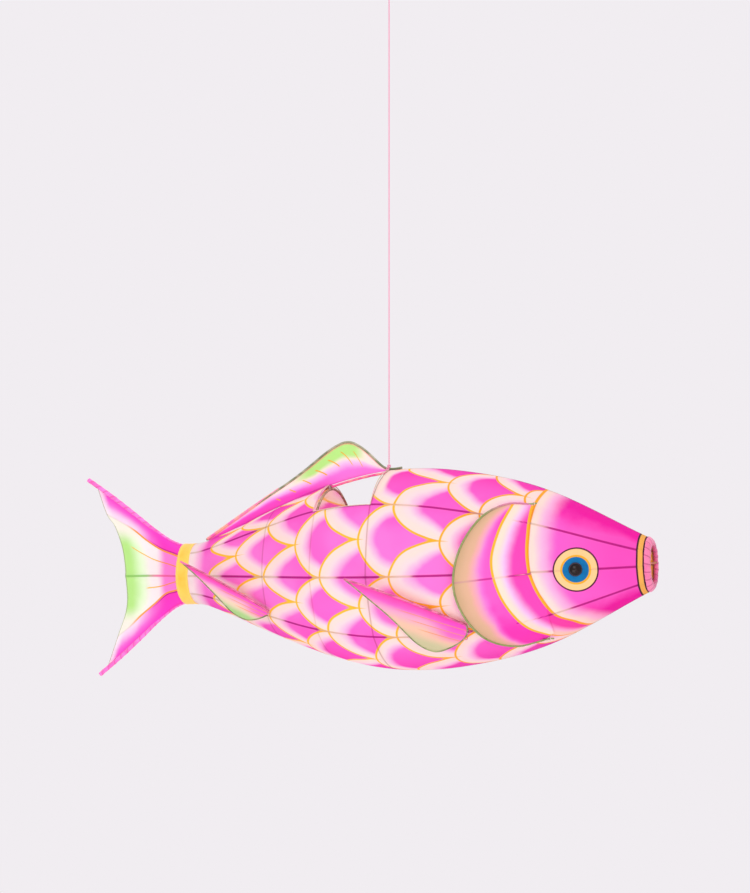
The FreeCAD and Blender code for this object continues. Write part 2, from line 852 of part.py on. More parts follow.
def eye(side_name):
    """A glossy domed pupil: the cap of a sphere, standing on the skin."""
    side = SIDES[side_name]
    radius, height, x = size("pupil_radius"), size("pupil_height"), size("eye_x")
    ball_radius = (radius**2 + height**2) / (2 * height)
    sunk = ball_radius - height
    dome = document.addObject("Part::Sphere", f"eye_pupil_{side_name}")
    dome.setExpression(
        "Radius", "(Sizes.pupil_radius ^ 2 + Sizes.pupil_height ^ 2) / (2 * Sizes.pupil_height)"
    )
    dome.Angle1 = math.degrees(math.asin(sunk / ball_radius))
    ahead = mirror_y(on_body(x + 5, 0), side) - mirror_y(on_body(x - 5, 0), side)
    outward = Vector(-side * ahead.y, side * ahead.x, 0).normalize()
    here = mirror_y(on_body(x, 0), side) + outward * (size("pupil_lift") - sunk)
    place = Placement(here, Rotation(Vector(0, 0, 1), outward))
    keep(dome, f"eye_pupil_{side_name}", FISH.multiply(place))


# ---------------------------------------------------------------- build, check and export

hanging()
frame()
frame_lashings()
mouth()
body_skin()
tail_band()
dorsal_fin()
tail()
for name in SIDES:
    paired_fin("pectoral", "pectoral_fin", name)
    fin_ties("pectoral", "pectoral_fin", name, (0.2, 0.8))
    paired_fin("anal", "rear_fin", name)
    fin_ties("anal", "rear_fin", name, (0.5,))
    gill_cover(name)
    gill_ties(name)
    eye(name)

document.recompute()
for item in document.Objects:
    if {"Invalid", "Error"} & set(item.State):
        raise RuntimeError(f"{item.Label} failed: {item.State}")
os.makedirs("parts", exist_ok=True)
for item in parts:
    shape = item.Shape
    if shape.isNull() or not shape.isValid():
        raise RuntimeError(f"{item.Label} has no valid shape")
    shape.exportStep(f"parts/{item.Label}.step")
    print(item.Label, len(shape.Solids), round(shape.Volume, 1))
print(len(parts), "nodes")
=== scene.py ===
"""The looks of a hanging fish of painted cloth stretched over split bamboo.

Everything is in metres. Most shapes are worked out in the fish's own coordinates, with the origin on the
body's axis inside the girth ring, +X towards the mouth, +Y to the fish's left and +Z up, and TO_ROW places
them in the row frame.
"""
import math

import bpy
import numpy as np
from mathutils import Matrix, Vector


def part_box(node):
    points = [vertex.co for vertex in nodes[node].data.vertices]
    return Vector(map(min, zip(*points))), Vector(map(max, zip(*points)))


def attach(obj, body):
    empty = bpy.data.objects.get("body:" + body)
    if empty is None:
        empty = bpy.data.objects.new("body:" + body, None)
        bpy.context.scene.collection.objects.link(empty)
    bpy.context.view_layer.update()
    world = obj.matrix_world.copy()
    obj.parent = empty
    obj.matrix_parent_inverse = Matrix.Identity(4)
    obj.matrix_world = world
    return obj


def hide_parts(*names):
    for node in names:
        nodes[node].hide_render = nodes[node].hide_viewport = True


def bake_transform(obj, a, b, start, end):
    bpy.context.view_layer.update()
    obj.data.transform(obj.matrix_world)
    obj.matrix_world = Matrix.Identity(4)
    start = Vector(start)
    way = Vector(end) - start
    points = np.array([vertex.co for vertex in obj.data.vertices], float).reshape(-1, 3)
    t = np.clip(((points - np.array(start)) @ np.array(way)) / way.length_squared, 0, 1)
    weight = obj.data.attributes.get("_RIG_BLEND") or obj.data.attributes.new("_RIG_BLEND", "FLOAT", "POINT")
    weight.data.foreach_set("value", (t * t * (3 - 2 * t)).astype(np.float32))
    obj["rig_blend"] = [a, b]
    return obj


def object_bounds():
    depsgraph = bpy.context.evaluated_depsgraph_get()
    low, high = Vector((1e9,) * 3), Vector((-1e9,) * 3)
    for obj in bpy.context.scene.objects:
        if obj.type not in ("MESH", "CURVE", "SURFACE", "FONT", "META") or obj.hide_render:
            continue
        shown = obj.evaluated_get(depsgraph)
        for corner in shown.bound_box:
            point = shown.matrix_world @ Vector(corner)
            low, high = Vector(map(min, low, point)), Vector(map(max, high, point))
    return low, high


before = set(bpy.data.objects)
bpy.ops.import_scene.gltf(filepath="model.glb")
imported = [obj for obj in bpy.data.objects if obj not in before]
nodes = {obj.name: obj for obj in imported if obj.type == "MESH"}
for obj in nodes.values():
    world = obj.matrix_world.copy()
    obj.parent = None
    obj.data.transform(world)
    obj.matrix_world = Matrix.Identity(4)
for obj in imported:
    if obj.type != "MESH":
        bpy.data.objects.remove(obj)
cad_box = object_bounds()

MM = 0.001
SIDES = {"right": -1, "left": 1}


def middle_of(node):
    low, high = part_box(node)
    return (low + high) / 2


def into_scene(name, data):
    """A new object that shows the data, linked into the scene."""
    made = bpy.data.objects.new(name, data)
    bpy.context.scene.collection.objects.link(made)
    return made


def circle(count):
    """Angles evenly round a full turn, in radians."""
    return [2 * math.pi * i / count for i in range(count)]


GIRTH = middle_of("girth_ring")
MOUTH = middle_of("mouth_hoop")
NOSE_UP = math.atan2(MOUTH.z - GIRTH.z, MOUTH.x - GIRTH.x)
TO_ROW = Matrix.Translation(GIRTH) @ Matrix.Rotation(-NOSE_UP, 4, "Y")

# ---------------------------------------------------------------- camera

VIEW_TURN = math.radians(18.0)  # the camera stands towards the fish's head from its right side
VIEW_DISTANCE = 3.2
VIEW_RISE = 0.154  # above the body's axis
VIEW_TARGET_X = 0.005
VIEW_ASIDE = math.radians(0.40)  # the fish sits a little right of the picture's middle
LENS = 122.88

camera = into_scene("camera", bpy.data.cameras.new("camera"))
camera.data.lens = LENS
camera.data.sensor_width = 36.0
camera.data.sensor_fit = "HORIZONTAL"
camera.data.clip_start, camera.data.clip_end = 0.1, 60.0
camera.location = (
    VIEW_TARGET_X + VIEW_DISTANCE * math.sin(VIEW_TURN),
    -VIEW_DISTANCE * math.cos(VIEW_TURN),
    GIRTH.z + VIEW_RISE,
)
camera.rotation_euler = (math.pi / 2, 0.0, VIEW_TURN + VIEW_ASIDE)
bpy.context.scene.camera = camera
bpy.context.scene.view_settings.view_transform = "Standard"

# ---------------------------------------------------------------- material nodes


def colour(text):
    """A colour from its six sRGB hex digits, as linear RGBA."""
    parts = [int(text[i : i + 2], 16) / 255 for i in (0, 2, 4)]
    linear = [c / 12.92 if c <= 0.04045 else ((c + 0.055) / 1.055) ** 2.4 for c in parts]
    return (*linear, 1.0)


def reckoned(operation, turned=False):
    """A method that puts two values through a math node, in turned order where the value comes second."""

    def method(value, other):
        return value.paint.math(operation, *((other, value) if turned else (value, other)))

    return method


class Value:
    """A node's output that sums can be written with."""

    def __init__(self, paint, socket):
        self.paint, self.socket = paint, socket

    __add__, __radd__ = reckoned("ADD"), reckoned("ADD", True)
    __sub__, __rsub__ = reckoned("SUBTRACT"), reckoned("SUBTRACT", True)
    __mul__, __rmul__ = reckoned("MULTIPLY"), reckoned("MULTIPLY", True)
    __truediv__, __rtruediv__ = reckoned("DIVIDE"), reckoned("DIVIDE", True)

    def __abs__(self):
        return self.paint.math("ABSOLUTE", self)


class Paint:
    """A material being put together from nodes. Its methods return values."""

    def __init__(self, name, roughness=0.6, sheen=0.0, specular=0.4, coat=0.0):
        self.material = bpy.data.materials.new(name)
        self.material.use_nodes = True
        self.tree = self.material.node_tree
        self.shader = self.tree.nodes["Principled BSDF"]
        self.shader.inputs["Roughness"].default_value = roughness
        self.shader.inputs["Specular IOR Level"].default_value = specular
        self.shader.inputs["Sheen Weight"].default_value = sheen
        self.shader.inputs["Coat Weight"].default_value = coat

    def feed(self, socket, value):
        if isinstance(value, Value):
            self.tree.links.new(value.socket, socket)
        else:
            socket.default_value = value

    def node(self, kind, output, inputs, **settings):
        """An output of a new node, with its inputs fed."""
        made = self.tree.nodes.new(kind)
        for name, value in settings.items():
            setattr(made, name, value)
        for key, value in inputs.items():
            self.feed(made.inputs[key], value)
        return Value(self, made.outputs[output])

    def math(self, operation, *values):
        return self.node("ShaderNodeMath", 0, dict(enumerate(values)), operation=operation)

    def step(self, value, low, high):
        """0 below low and 1 above high, smooth between them."""
        ends = {"Value": value, "From Min": low, "From Max": high}
        return self.node("ShaderNodeMapRange", "Result", ends, interpolation_type="SMOOTHSTEP")

    def line(self, distance, half_width, soft):
        """1 on a line where distance is 0, and 0 away from it."""
        return 1.0 - self.step(abs(distance), half_width - soft, half_width + soft)

    def mix(self, share, a, b, blend="MIX"):
        """a where the share is 0 and b where it is 1. Colours may be hex digits."""
        a, b = (colour(c) if isinstance(c, str) else c for c in (a, b))
        inputs = {"Factor": share, 6: a, 7: b}
        return self.node("ShaderNodeMix", 2, inputs, data_type="RGBA", blend_type=blend)

    def coats(self, under, *coats):
        """A colour with others over it. A coat is a share, or a value and its step's ends, and a colour."""
        for *share, over in coats:
            under = self.mix(self.step(*share) if len(share) == 3 else share[0], under, over)
        return under

    def attribute(self, name):
        return self.node("ShaderNodeAttribute", "Fac", {}, attribute_name=name)

    def attributes(self, names):
        return [self.attribute(name) for name in names.split()]

    def place(self, stretch=(1.0, 1.0, 1.0)):
        """The point's place in its object, stretched along each axis."""
        here = self.node("ShaderNodeTexCoord", "Object", {})
        return self.node("ShaderNodeMapping", "Vector", {"Scale": stretch, "Vector": here})

    def xyz(self):
        """The point's x, y and z in its object."""
        here = self.place()
        return [self.node("ShaderNodeSeparateXYZ", k, {0: here}) for k in range(3)]

    def noise(self, scale, detail=2.0, stretch=(1.0, 1.0, 1.0)):
        inputs = {"Scale": scale, "Detail": detail, "Vector": self.place(stretch)}
        return self.node("ShaderNodeTexNoise", "Fac", inputs)

    def stripes(self, value, pitch):
        """A wave from 0 to 1 with one crest per pitch of value."""
        return self.math("SINE", value * (2 * math.pi / pitch)) * 0.5 + 0.5

    def bump(self, height, distance, strength):
        inputs = {"Distance": distance, "Strength": strength, "Height": height}
        self.feed(self.shader.inputs["Normal"], self.node("ShaderNodeBump", "Normal", inputs))

    def green_of(self, value):
        return self.node("ShaderNodeSeparateColor", 1, {0: value})

    def colour(self, value):
        """Ends the paint with its colour and returns the material."""
        self.feed(self.shader.inputs["Base Color"], value)
        return self.material

    def glow_through(self, value, share):
        """Lets a share of the light through the cloth, in its own colour."""
        behind = self.node("ShaderNodeBsdfTranslucent", 0, {"Color": value})
        shader = Value(self, self.shader.outputs[0])
        mixed = self.node("ShaderNodeMixShader", 0, {"Fac": share, 1: shader, 2: behind})
        self.feed(self.tree.nodes["Material Output"].inputs["Surface"], mixed)


# ---------------------------------------------------------------- palette

CREAM = "fbeee2"
SHELL = "fdeaec"
PALE_PINK = "fdc8ee"
PINK = "fc84e4"
HOT_PINK = "f850ce"
MAGENTA = "ec0cb2"
GOLD = "ffd03a"
ORANGE = "ffb832"
BEIGE = "dcb494"
LEAF = "bdea8c"
PALE_LEAF = "e6f6d2"
WHITE_CLOTH = "faf0f0"
# painted shadow colours of the rods behind the cloth
RIB_SHADOW_ON_PINK = "b81484"
RIB_SHADOW_ON_CREAM = "d6b8a2"
# painted shade colour of the rings behind the cloth
RING_SHADE_GREY = "c4ad9a"
INK = "4a2440"
IRIS = "0668b0"
IRIS_RIM = "f5bd2a"
EYE_GOLD = "ffdf9e"
# painted light: the inner face's colours, partly the unpainted cloth and partly light through it
MOUTH_GLOW_CREAM = "fff0b4"
LIT_INNER_CLOTH = "fff6f0"

CLOTH_PITCH = 0.9 * MM


def weave(paint, along, across):
    """The fine plain weave of thin cotton, as bump, with slightly uneven yarns."""
    crossed = paint.math("MAXIMUM", paint.stripes(along, CLOTH_PITCH), paint.stripes(across, CLOTH_PITCH))
    paint.bump(crossed + paint.noise(900.0, 3.0), 0.08 * MM, 0.25)


def rib_shadow(paint, under, distance, half_width):
    """The painted shadow of a rod behind the cloth: a dark line on pink paint, a faint one on cream."""
    pinkness = 1.0 - paint.step(paint.green_of(under), 0.22, 0.62)
    strength = 0.4 + pinkness * 0.35
    shadow = paint.line(distance, half_width, 0.7 * MM)
    return paint.mix(shadow * strength, under, paint.mix(pinkness, RIB_SHADOW_ON_CREAM, RIB_SHADOW_ON_PINK))


def airbrush(paint, value, amount):
    """Wobbles a painted distance, as sprayed edges do."""
    return value + (paint.noise(38.0, 3.0) - 0.5) * amount


# ---------------------------------------------------------------- the body's form

# along the body: place, half height, half width
STATIONS = (
    (-0.2780, 0.0376, 0.0325),
    (-0.2480, 0.0415, 0.0360),
    (-0.1490, 0.0825, 0.0680),
    (-0.0765, 0.1090, 0.0955),
    (0.0000, 0.1243, 0.1075),
    (0.0900, 0.1215, 0.1050),
    (0.2000, 0.0955, 0.0830),
    (0.3270, 0.0330, 0.0285),
)
PLACES, HEIGHTS, WIDTHS = zip(*STATIONS)
TAIL_X, WRIST_X, REAR_X, BACK_X, GIRTH_X, SHOULDER_X, GILL_X, MOUTH_X = PLACES
RIBS = ("top", "upper", "middle", "lower", "bottom")
UPPER_REAR, UPPER_FRONT = 45.0, 30.0  # degrees above the fish's side
MIDDLE_RIB, LOWER_RIB = -2.0, -39.0
CLOTH = 0.5 * MM


def smooth(x, xs, values):
    """A smooth curve through the values at xs."""
    last = len(xs) - 1
    slopes = []
    for i in range(last + 1):
        low, high = max(i - 1, 0), min(i + 1, last)
        slopes.append((values[high] - values[low]) / (xs[high] - xs[low]))
    i = max(k for k in range(last) if k == 0 or xs[k] <= x)
    span = xs[i + 1] - xs[i]
    s = (x - xs[i]) / span
    return (
        values[i] * (2 * s**3 - 3 * s**2 + 1)
        + slopes[i] * span * (s**3 - 2 * s**2 + s)
        + values[i + 1] * (3 * s**2 - 2 * s**3)
        + slopes[i + 1] * span * (s**3 - s**2)
    )


def half_height(x):
    return smooth(x, PLACES, HEIGHTS)


def half_width(x):
    return smooth(x, PLACES, WIDTHS)


def on_body(x, angle, depth=0.0):
    """The point of the skin at x, angle degrees up from the fish's left, set in by depth."""
    turn = math.radians(angle)
    return Vector((x, (half_width(x) - depth) * math.cos(turn), (half_height(x) - depth) * math.sin(turn)))


def side_of_body(x, z):
    """How far the skin stands out to the side at x and z."""
    share = min(abs(z) / half_height(x), 1.0)
    return half_width(x) * math.sqrt(1 - share**2)


def rise_angle(x, z):
    """Degrees up from the body's side of the point at x and z in side view."""
    return math.degrees(math.asin(max(-1.0, min(1.0, z / half_height(x)))))


def rib_angle(rib, x):
    if rib == "upper":
        share = min(max((x - BACK_X) / (MOUTH_X - BACK_X), 0.0), 1.0)
        return UPPER_REAR + share * (UPPER_FRONT - UPPER_REAR)
    return {"top": 90.0, "middle": MIDDLE_RIB, "lower": LOWER_RIB, "bottom": -90.0}[rib]


def full_angle(rib, side, x):
    """A rib's place round the body, 90 at the top and falling to -270."""
    angle = rib_angle(rib, x)
    return angle if side == 1 else -180 - angle


AROUND = [(rib, 1) for rib in RIBS] + [(rib, -1) for rib in reversed(RIBS[1:-1])]
GORES = list(zip(AROUND, AROUND[1:] + AROUND[:1]))


def evenly(start, end, count):
    return [start + (end - start) * i / (count - 1) for i in range(count)]


def ease(value, low, high):
    """0 below low and 1 above high, smooth between them."""
    share = min(max((value - low) / (high - low), 0.0), 1.0)
    return share * share * (3 - 2 * share)


# ---------------------------------------------------------------- meshes


def make(name, points, faces, body, material, slot, hides=(), fields=None):
    """A smooth-shaded mesh piece that rides on a body. Its points are in the fish's own coordinates."""
    matrix = np.array(TO_ROW)
    spots = np.array([tuple(p) for p in points], float) @ matrix[:3, :3].T + matrix[:3, 3]
    mesh = bpy.data.meshes.new(name)
    mesh.from_pydata(spots.tolist(), [], faces)
    for field, values in (fields or {}).items():
        layer = mesh.attributes.new(field, "FLOAT", "POINT")
        layer.data.foreach_set("value", np.array(values, np.float32))
    mesh.shade_smooth()
    mesh.materials.append(material)
    piece = into_scene(name, mesh)
    if body:
        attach(piece, body)
    if hides:
        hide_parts(*hides)
    return piece


def note(fields, **values):
    """Adds one point's values to its piece's fields."""
    for name, value in values.items():
        fields.setdefault(name, []).append(value)


def grid_faces(rows, columns, wrap_rows=False, wrap_columns=False, skip=None, start=0, turned=False):
    """The quads of a grid of points, row after row. turned makes them face the other way."""
    faces = []
    for i in range(rows if wrap_rows else rows - 1):
        for j in range(columns if wrap_columns else columns - 1):
            if skip and skip(i, j):
                continue
            row, next_row, beside = start + i * columns, start + (i + 1) % rows * columns, (j + 1) % columns
            corners = (row + j, row + beside, next_row + beside, next_row + j)
            faces.append(corners[::-1] if turned else corners)
    return faces


def thicken(piece, thickness, offset=-1.0, even=True):
    """Gives a sheet its thickness."""
    shell = piece.modifiers.new("thickness", "SOLIDIFY")
    shell.thickness = thickness
    shell.offset = offset
    shell.use_even_offset = even


def thicken_for_good(piece, thickness):
    """Gives a sheet its thickness as mesh, with a field that is 1 on its inner face."""
    outer = len(piece.data.vertices)
    thicken(piece, thickness)
    view = bpy.context.evaluated_depsgraph_get()
    shown = piece.evaluated_get(view)
    solid = bpy.data.meshes.new_from_object(shown, preserve_all_data_layers=True, depsgraph=view)
    layer = solid.attributes.new("inside", "FLOAT", "POINT")
    layer.data.foreach_set("value", [0.0] * outer + [1.0] * (len(solid.vertices) - outer))
    piece.modifiers.clear()
    piece.data = solid


def tube(points, radii, sides=10, closed=False):
    """Vertices and faces of a tube along points. radii is a number, or a function of point and side."""
    line = [Vector(p) for p in points]
    count = len(line)
    verts = []
    normal = None
    for i, here in enumerate(line):
        before = line[(i - 1) % count] if closed else line[max(i - 1, 0)]
        after = line[(i + 1) % count] if closed else line[min(i + 1, count - 1)]
        along = (after - before).normalized()
        if normal is None:
            normal = along.orthogonal().normalized()
        normal = (normal - along * normal.dot(along)).normalized()
        across = along.cross(normal)
        for k, turn in enumerate(circle(sides)):
            radius = radii(i, k) if callable(radii) else radii
            verts.append(here + (normal * math.cos(turn) + across * math.sin(turn)) * radius)
    faces = grid_faces(count, sides, wrap_rows=closed, wrap_columns=True)
    if not closed:
        faces.append(tuple(range(sides - 1, -1, -1)))
        faces.append(tuple((count - 1) * sides + k for k in range(sides)))
    return verts, faces


def joined(shapes):
    """Several (vertices, faces) as one."""
    verts, faces = [], []
    for some, theirs in shapes:
        faces += [tuple(len(verts) + i for i in face) for face in theirs]
        verts += some
    return verts, faces


# ---------------------------------------------------------------- thread

THREAD_DIAMETER = 1.4 * MM


def thread_material():
    paint = Paint("pink_thread", roughness=0.75, sheen=0.3)
    x, y, z = paint.xyz()
    slant = z * (2 * math.pi / (2.2 * MM)) + paint.math("ARCTAN2", y, x) * 2.0
    strand = paint.math("SINE", slant) * 0.5 + 0.5
    paint.bump(strand + paint.noise(1800.0) * 0.4, 0.25 * MM, 0.8)
    # painted shade: the twist's grooves darker pink and its ridges paler, in step with the bump
    return paint.colour(paint.mix(strand, "c9688c", "f0a9c2"))


THREAD = thread_material()
LINE_LOW, LINE_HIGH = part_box("hanging_thread")


def hanging_thread():
    """The one thread that the fish hangs from, pulled straight between its two knots."""
    curve = bpy.data.curves.new("hanging_line", "CURVE")
    curve.dimensions = "3D"
    curve.bevel_depth = THREAD_DIAMETER / 2
    curve.bevel_resolution = 4
    curve.use_fill_caps = True
    line = curve.splines.new("NURBS")
    heights = (LINE_LOW.z, (LINE_LOW.z + LINE_HIGH.z) / 2, LINE_HIGH.z)
    line.points.add(len(heights) - 1)
    for point, height in zip(line.points, heights):
        point.co = (0.0, 0.0, height, 1.0)
    line.order_u = 3
    line.use_endpoint_u = True
    curve.materials.append(THREAD)
    piece = into_scene("hanging_line", curve)
    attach(piece, "hanging_cord")
    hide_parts("hanging_thread")


def hanging_knot():
    """The wound knot on the back: a ball of crossing turns over a whipping round the spar and the rib."""
    ball = Vector((0, 0, half_height(0.0) + 5.4 * MM))
    shapes = []
    for lean, turn_to in ((0, 0), (62, 20), (-58, 75), (30, 130), (-25, 165)):
        spin = Matrix.Rotation(math.radians(turn_to), 3, "Z") @ Matrix.Rotation(math.radians(lean), 3, "X")
        ring = [ball + spin @ Vector((math.cos(a), math.sin(a), 0)) * 1.75 * MM for a in circle(28)]
        shapes.append(tube(ring, THREAD_DIAMETER / 2, sides=8, closed=True))
    low, high = half_height(0.0) - 4.5 * MM, half_height(0.0) + 2.8 * MM
    middle, reach = (low + high) / 2, (high - low) / 2 + THREAD_DIAMETER / 2
    for shift in (-2.9, -1.5, -0.1):
        ring = [
            ((shift + 0.35 * math.sin(a)) * MM, 0.62 * reach * math.cos(a), middle + reach * math.sin(a))
            for a in circle(36)
        ]
        shapes.append(tube(ring, THREAD_DIAMETER / 2 * 0.9, sides=8, closed=True))
    make("hanging_knot_wound", *joined(shapes), "fish", THREAD, "hanging_thread", ["hanging_knot"])


def repaint(node, material):
    node.data.materials.clear()
    node.data.materials.append(material)


hanging_thread()
hanging_knot()
repaint(nodes["hanging_loop"], THREAD)

# ---------------------------------------------------------------- painted scales and head

# where the scales' rounded ends lie along the body: whole rows on the ribs, half rows between them
SCALE_ROWS = (-1.5, -1.0, -0.5, 0.0, 0.5, 1.0, 1.5, 2.0, 2.5, 3.0, 3.5)
SCALE_X = (-0.2700, -0.2300, -0.1905, -0.1454, -0.0996, -0.0595, -0.0112, 0.0300, 0.0920, 0.1380, 0.1860)
HEAD_TURNS = (-90.0, -57.0, -41.6, -25.8, -9.0, 9.0, 27.6, 50.6, 70.7, 90.0)
HEAD_EDGE = (0.2570, 0.2405, 0.2235, 0.2115, 0.2015, 0.1965, 0.1968, 0.1985, 0.2020, 0.2035)
COLLAR_TURNS = (-90.0, -72.0, -59.0, -46.2, -31.8, -13.9, 5.5, 25.4, 47.6, 90.0)
COLLAR_EDGE = (0.2420, 0.2190, 0.2060, 0.1910, 0.1775, 0.1640, 0.1575, 0.1645, 0.1760, 0.1900)
EYE = (0.2507, -0.0022)
EYE_LONG, EYE_HIGH = 0.0256, 0.0266
COLLAR_TOP = 44.0  # degrees above which the scales run on to the head's edge


def scale_place(x):
    """Rows of scales counted along the body."""
    return smooth(x, SCALE_X, SCALE_ROWS)


def scale_length(x):
    return 2 * MM / (scale_place(x + MM) - scale_place(x - MM))


def head_edge(angle):
    return smooth(angle, HEAD_TURNS, HEAD_EDGE)


def collar_edge(angle):
    return smooth(angle, COLLAR_TURNS, COLLAR_EDGE)


def eye_reach(x, z):
    """1 on the eye's outer edge."""
    return math.hypot((x - EYE[0]) / EYE_LONG, (z - EYE[1]) / EYE_HIGH)


def head_colours(paint, ahead, angle):
    """The head's paint: a gold edge, cream, then pink that deepens above, below and towards the mouth."""
    ahead = airbrush(paint, ahead, 8 * MM)
    lifted = paint.step(abs(airbrush(paint, angle, 22.0)), 30.0, 66.0)
    far = paint.step(ahead, 40 * MM, 105 * MM) * 0.3
    deep = paint.mix(paint.math("MAXIMUM", lifted, far), "fb66da", MAGENTA)
    made = paint.mix(paint.step(ahead, 13 * MM, 34 * MM), PALE_PINK, deep)
    return paint.mix(paint.step(ahead, 5 * MM, 17 * MM), CREAM, made)


def collar_colours(paint, ahead):
    """The strip between the gill cover's gold line and the head's: cream, then pink up to the head's line."""
    ahead = airbrush(paint, ahead, 6 * MM)
    made = paint.mix(paint.step(ahead, 5 * MM, 16 * MM), "fbdfcc", PALE_PINK)
    return paint.mix(paint.step(ahead, 11 * MM, 25 * MM), made, "f748b8")


def front_colours(paint, under, angle, collar_line):
    """The collar and the head over the paint behind them, each with a gold line at its edge."""
    collar, head = paint.attributes("collar head")
    soft = 0.2 * MM
    return paint.coats(
        under,
        (collar, -soft, soft, collar_colours(paint, collar)),
        (paint.line(collar, collar_line, 0.4 * MM), ORANGE),
        (head, -soft, soft, head_colours(paint, head, angle)),
        (paint.line(head, 1.7 * MM, 0.4 * MM), ORANGE),
    )


def eye_colours(paint, under, reach):
    """A gold disc with a dark outline, and a blue iris in a thin yellow rim."""
    made = paint.mix(1.0 - paint.step(reach, 0.955, 0.985), under, EYE_GOLD)
    return paint.coats(
        rib_shadow(paint, made, paint.attribute("rib"), 1.2 * MM),
        (1.0 - paint.step(reach, 0.655, 0.685), IRIS_RIM),
        (1.0 - paint.step(reach, 0.565, 0.595), paint.mix(paint.noise(160.0, 3.0), IRIS, "0a8ccc")),
        (paint.line(reach - 0.97, 0.034, 0.014), INK),
    )


def scale_edges(paint):
    """How deep a point lies in its scale, as a share of a row, and how far from the nearest gold line."""
    gore, length, width = paint.attributes("gore length width")
    row = paint.attribute("row") + (paint.noise(11.0) - 0.5) * 0.13
    past, depths, nearest = [], [], []
    for shift, start in ((0.0, 0.5), (0.5, 0.0)):
        phase = paint.math("FRACT", gore + shift)
        side = paint.math("MINIMUM", abs(phase - 0.5) * 2.0, 0.995)
        root = paint.math("SQRT", 1.0 - side * side)
        curve = (1.0 - root) * 0.7 + side * side * 0.3
        slope = side / root * 0.7 + side * 0.6
        steep = length * slope / width
        share = 1.0 / paint.math("SQRT", 1.0 + steep * steep)
        count = row - start - curve * 0.5
        bounded = paint.math("MAXIMUM", count, -1.0)
        before_first = paint.math("LESS_THAN", count, -1.0) * 9.0
        past.append(count - paint.math("FLOOR", bounded) + before_first)
        depths.append(past[-1] * share)
        near = abs(count - paint.math("ROUND", bounded))
        nearest.append(near * share * length)
    first_owns = paint.math("LESS_THAN", past[0], past[1])
    depth = depths[1] + first_owns * (depths[0] - depths[1])
    return depth, paint.math("MINIMUM", *nearest)


def painted_skin():
    paint = Paint("painted_skin", roughness=0.7, specular=0.2)
    along, angle = paint.attributes("along angle")
    depth, nearest = scale_edges(paint)
    depth = airbrush(paint, depth, 0.10)
    steep = paint.step(abs(airbrush(paint, angle, 30.0)), 22.0, 58.0)
    core = paint.coats(
        PINK,
        (steep * 0.65, HOT_PINK),
        (paint.step(paint.noise(9.0), 0.48, 0.66) * 0.4, HOT_PINK),
        (paint.step(abs(angle), 50.0, 80.0) * 0.6, MAGENTA),
    )
    scales = paint.coats(
        CREAM,
        (depth, 0.05, 0.14, SHELL),
        (depth, 0.12, 0.22, PALE_PINK),
        (depth, 0.19, 0.31, core),
        (
            1.0 - paint.step(nearest, 0.9 * MM, 1.8 * MM),
            paint.mix(paint.step(along, -0.02, 0.16), GOLD, ORANGE),
        ),
        # the wrist: pale cloth next to the band, before the plain pink that the first scales lie on
        (
            1.0 - paint.step(along, -0.250, -0.238),
            paint.mix(paint.step(along, -0.258, -0.247), WHITE_CLOTH, PALE_PINK),
        ),
        # a cream border where the skin starts again in front of the hatch
        (paint.line(along - 4 * MM, 8 * MM, 4 * MM) * paint.step(angle, 46.0, 54.0), CREAM),
    )
    made = front_colours(paint, scales, angle, 1.35 * MM)

    # painted shade where the frame lies behind the cloth: the ribs' shadows as dark lines, the rings' as
    # faint ones
    made = rib_shadow(paint, made, paint.attribute("rib"), 1.2 * MM)
    for ring_x, share in ((GIRTH_X, 0.55), (REAR_X, 0.4), (BACK_X, 0.3)):
        ring_shade = paint.line(along - ring_x, 1.0 * MM, 0.6 * MM)
        made = paint.mix(ring_shade * share, made, RING_SHADE_GREY, "MULTIPLY")
    made = eye_colours(paint, made, paint.attribute("eye"))

    # gold and ink rings behind the mouth
    rings = paint.mix(paint.step(along, 0.3188, 0.3194), made, "f2c060")
    for ring_x in (0.3184, 0.3258):
        rings = paint.mix(paint.line(along - ring_x, 1.0 * MM, 0.3 * MM), rings, INK)

    # the cloth's inner face: paler, as its unpainted side is, and painted brighter still to stand in for
    # light coming through the cloth; near the mouth a painted cream glow of that light
    inside, near_mouth = paint.attribute("inside"), paint.step(along, 0.215, 0.26)
    pale = paint.mix(near_mouth * 0.18 + 0.82, rings, paint.mix(near_mouth, LIT_INNER_CLOTH, MOUTH_GLOW_CREAM))
    made = paint.mix(inside, rings, pale)
    paint.glow_through(made, inside * 0.4 + 0.45)
    weave(paint, along, paint.attribute("round"))
    return paint.colour(made)


GORE_STEPS = 16
ROW_STEP = 3.0 * MM
GORE_FLATNESS = 3.2 * MM  # how far the cloth is drawn in between two ribs at the girth
HATCH_REAR = BACK_X - 2.2 * MM  # the hatch ends at the girth ring in front


def rows_between(edges, pitch):
    """Places that meet every edge, about a pitch apart."""
    rows = [edges[0]]
    for start, end in zip(edges, edges[1:]):
        steps = max(round((end - start) / pitch), 1)
        rows += [start + (end - start) * (i + 1) / steps for i in range(steps)]
    return rows


def drawn_in(x, share):
    """How far the cloth lies inside the ribs' oval at a share of the way from one rib to the next."""
    return GORE_FLATNESS * 4 * share * (1 - share) * half_width(x) / half_width(GIRTH_X)


def skin_point(x, gore, share):
    """A point of the cloth: on the ribs' oval at the ribs and drawn in between them, with faint ripples."""
    first, second = GORES[gore]
    high, low = full_angle(*first, x), full_angle(*second, x)
    low -= 360 if low > high else 0
    angle = high + (low - high) * share
    ripple = 0.22 * MM * math.sin(x * 190 + gore * 2.1 + 5 * share) * math.sin(math.pi * share)
    return on_body(x, angle, drawn_in(x, share) + ripple), angle


def cloth_side(x, z):
    """How far the drawn-in cloth stands out to the side at x and z."""
    angle = rise_angle(x, z)
    levels = [rib_angle(rib, x) for rib in RIBS]
    gore = max(i for i in range(4) if i == 0 or levels[i] >= angle)
    share = (levels[gore] - angle) / (levels[gore] - levels[gore + 1])
    return side_of_body(x, z) - drawn_in(x, share) * math.cos(math.radians(angle))


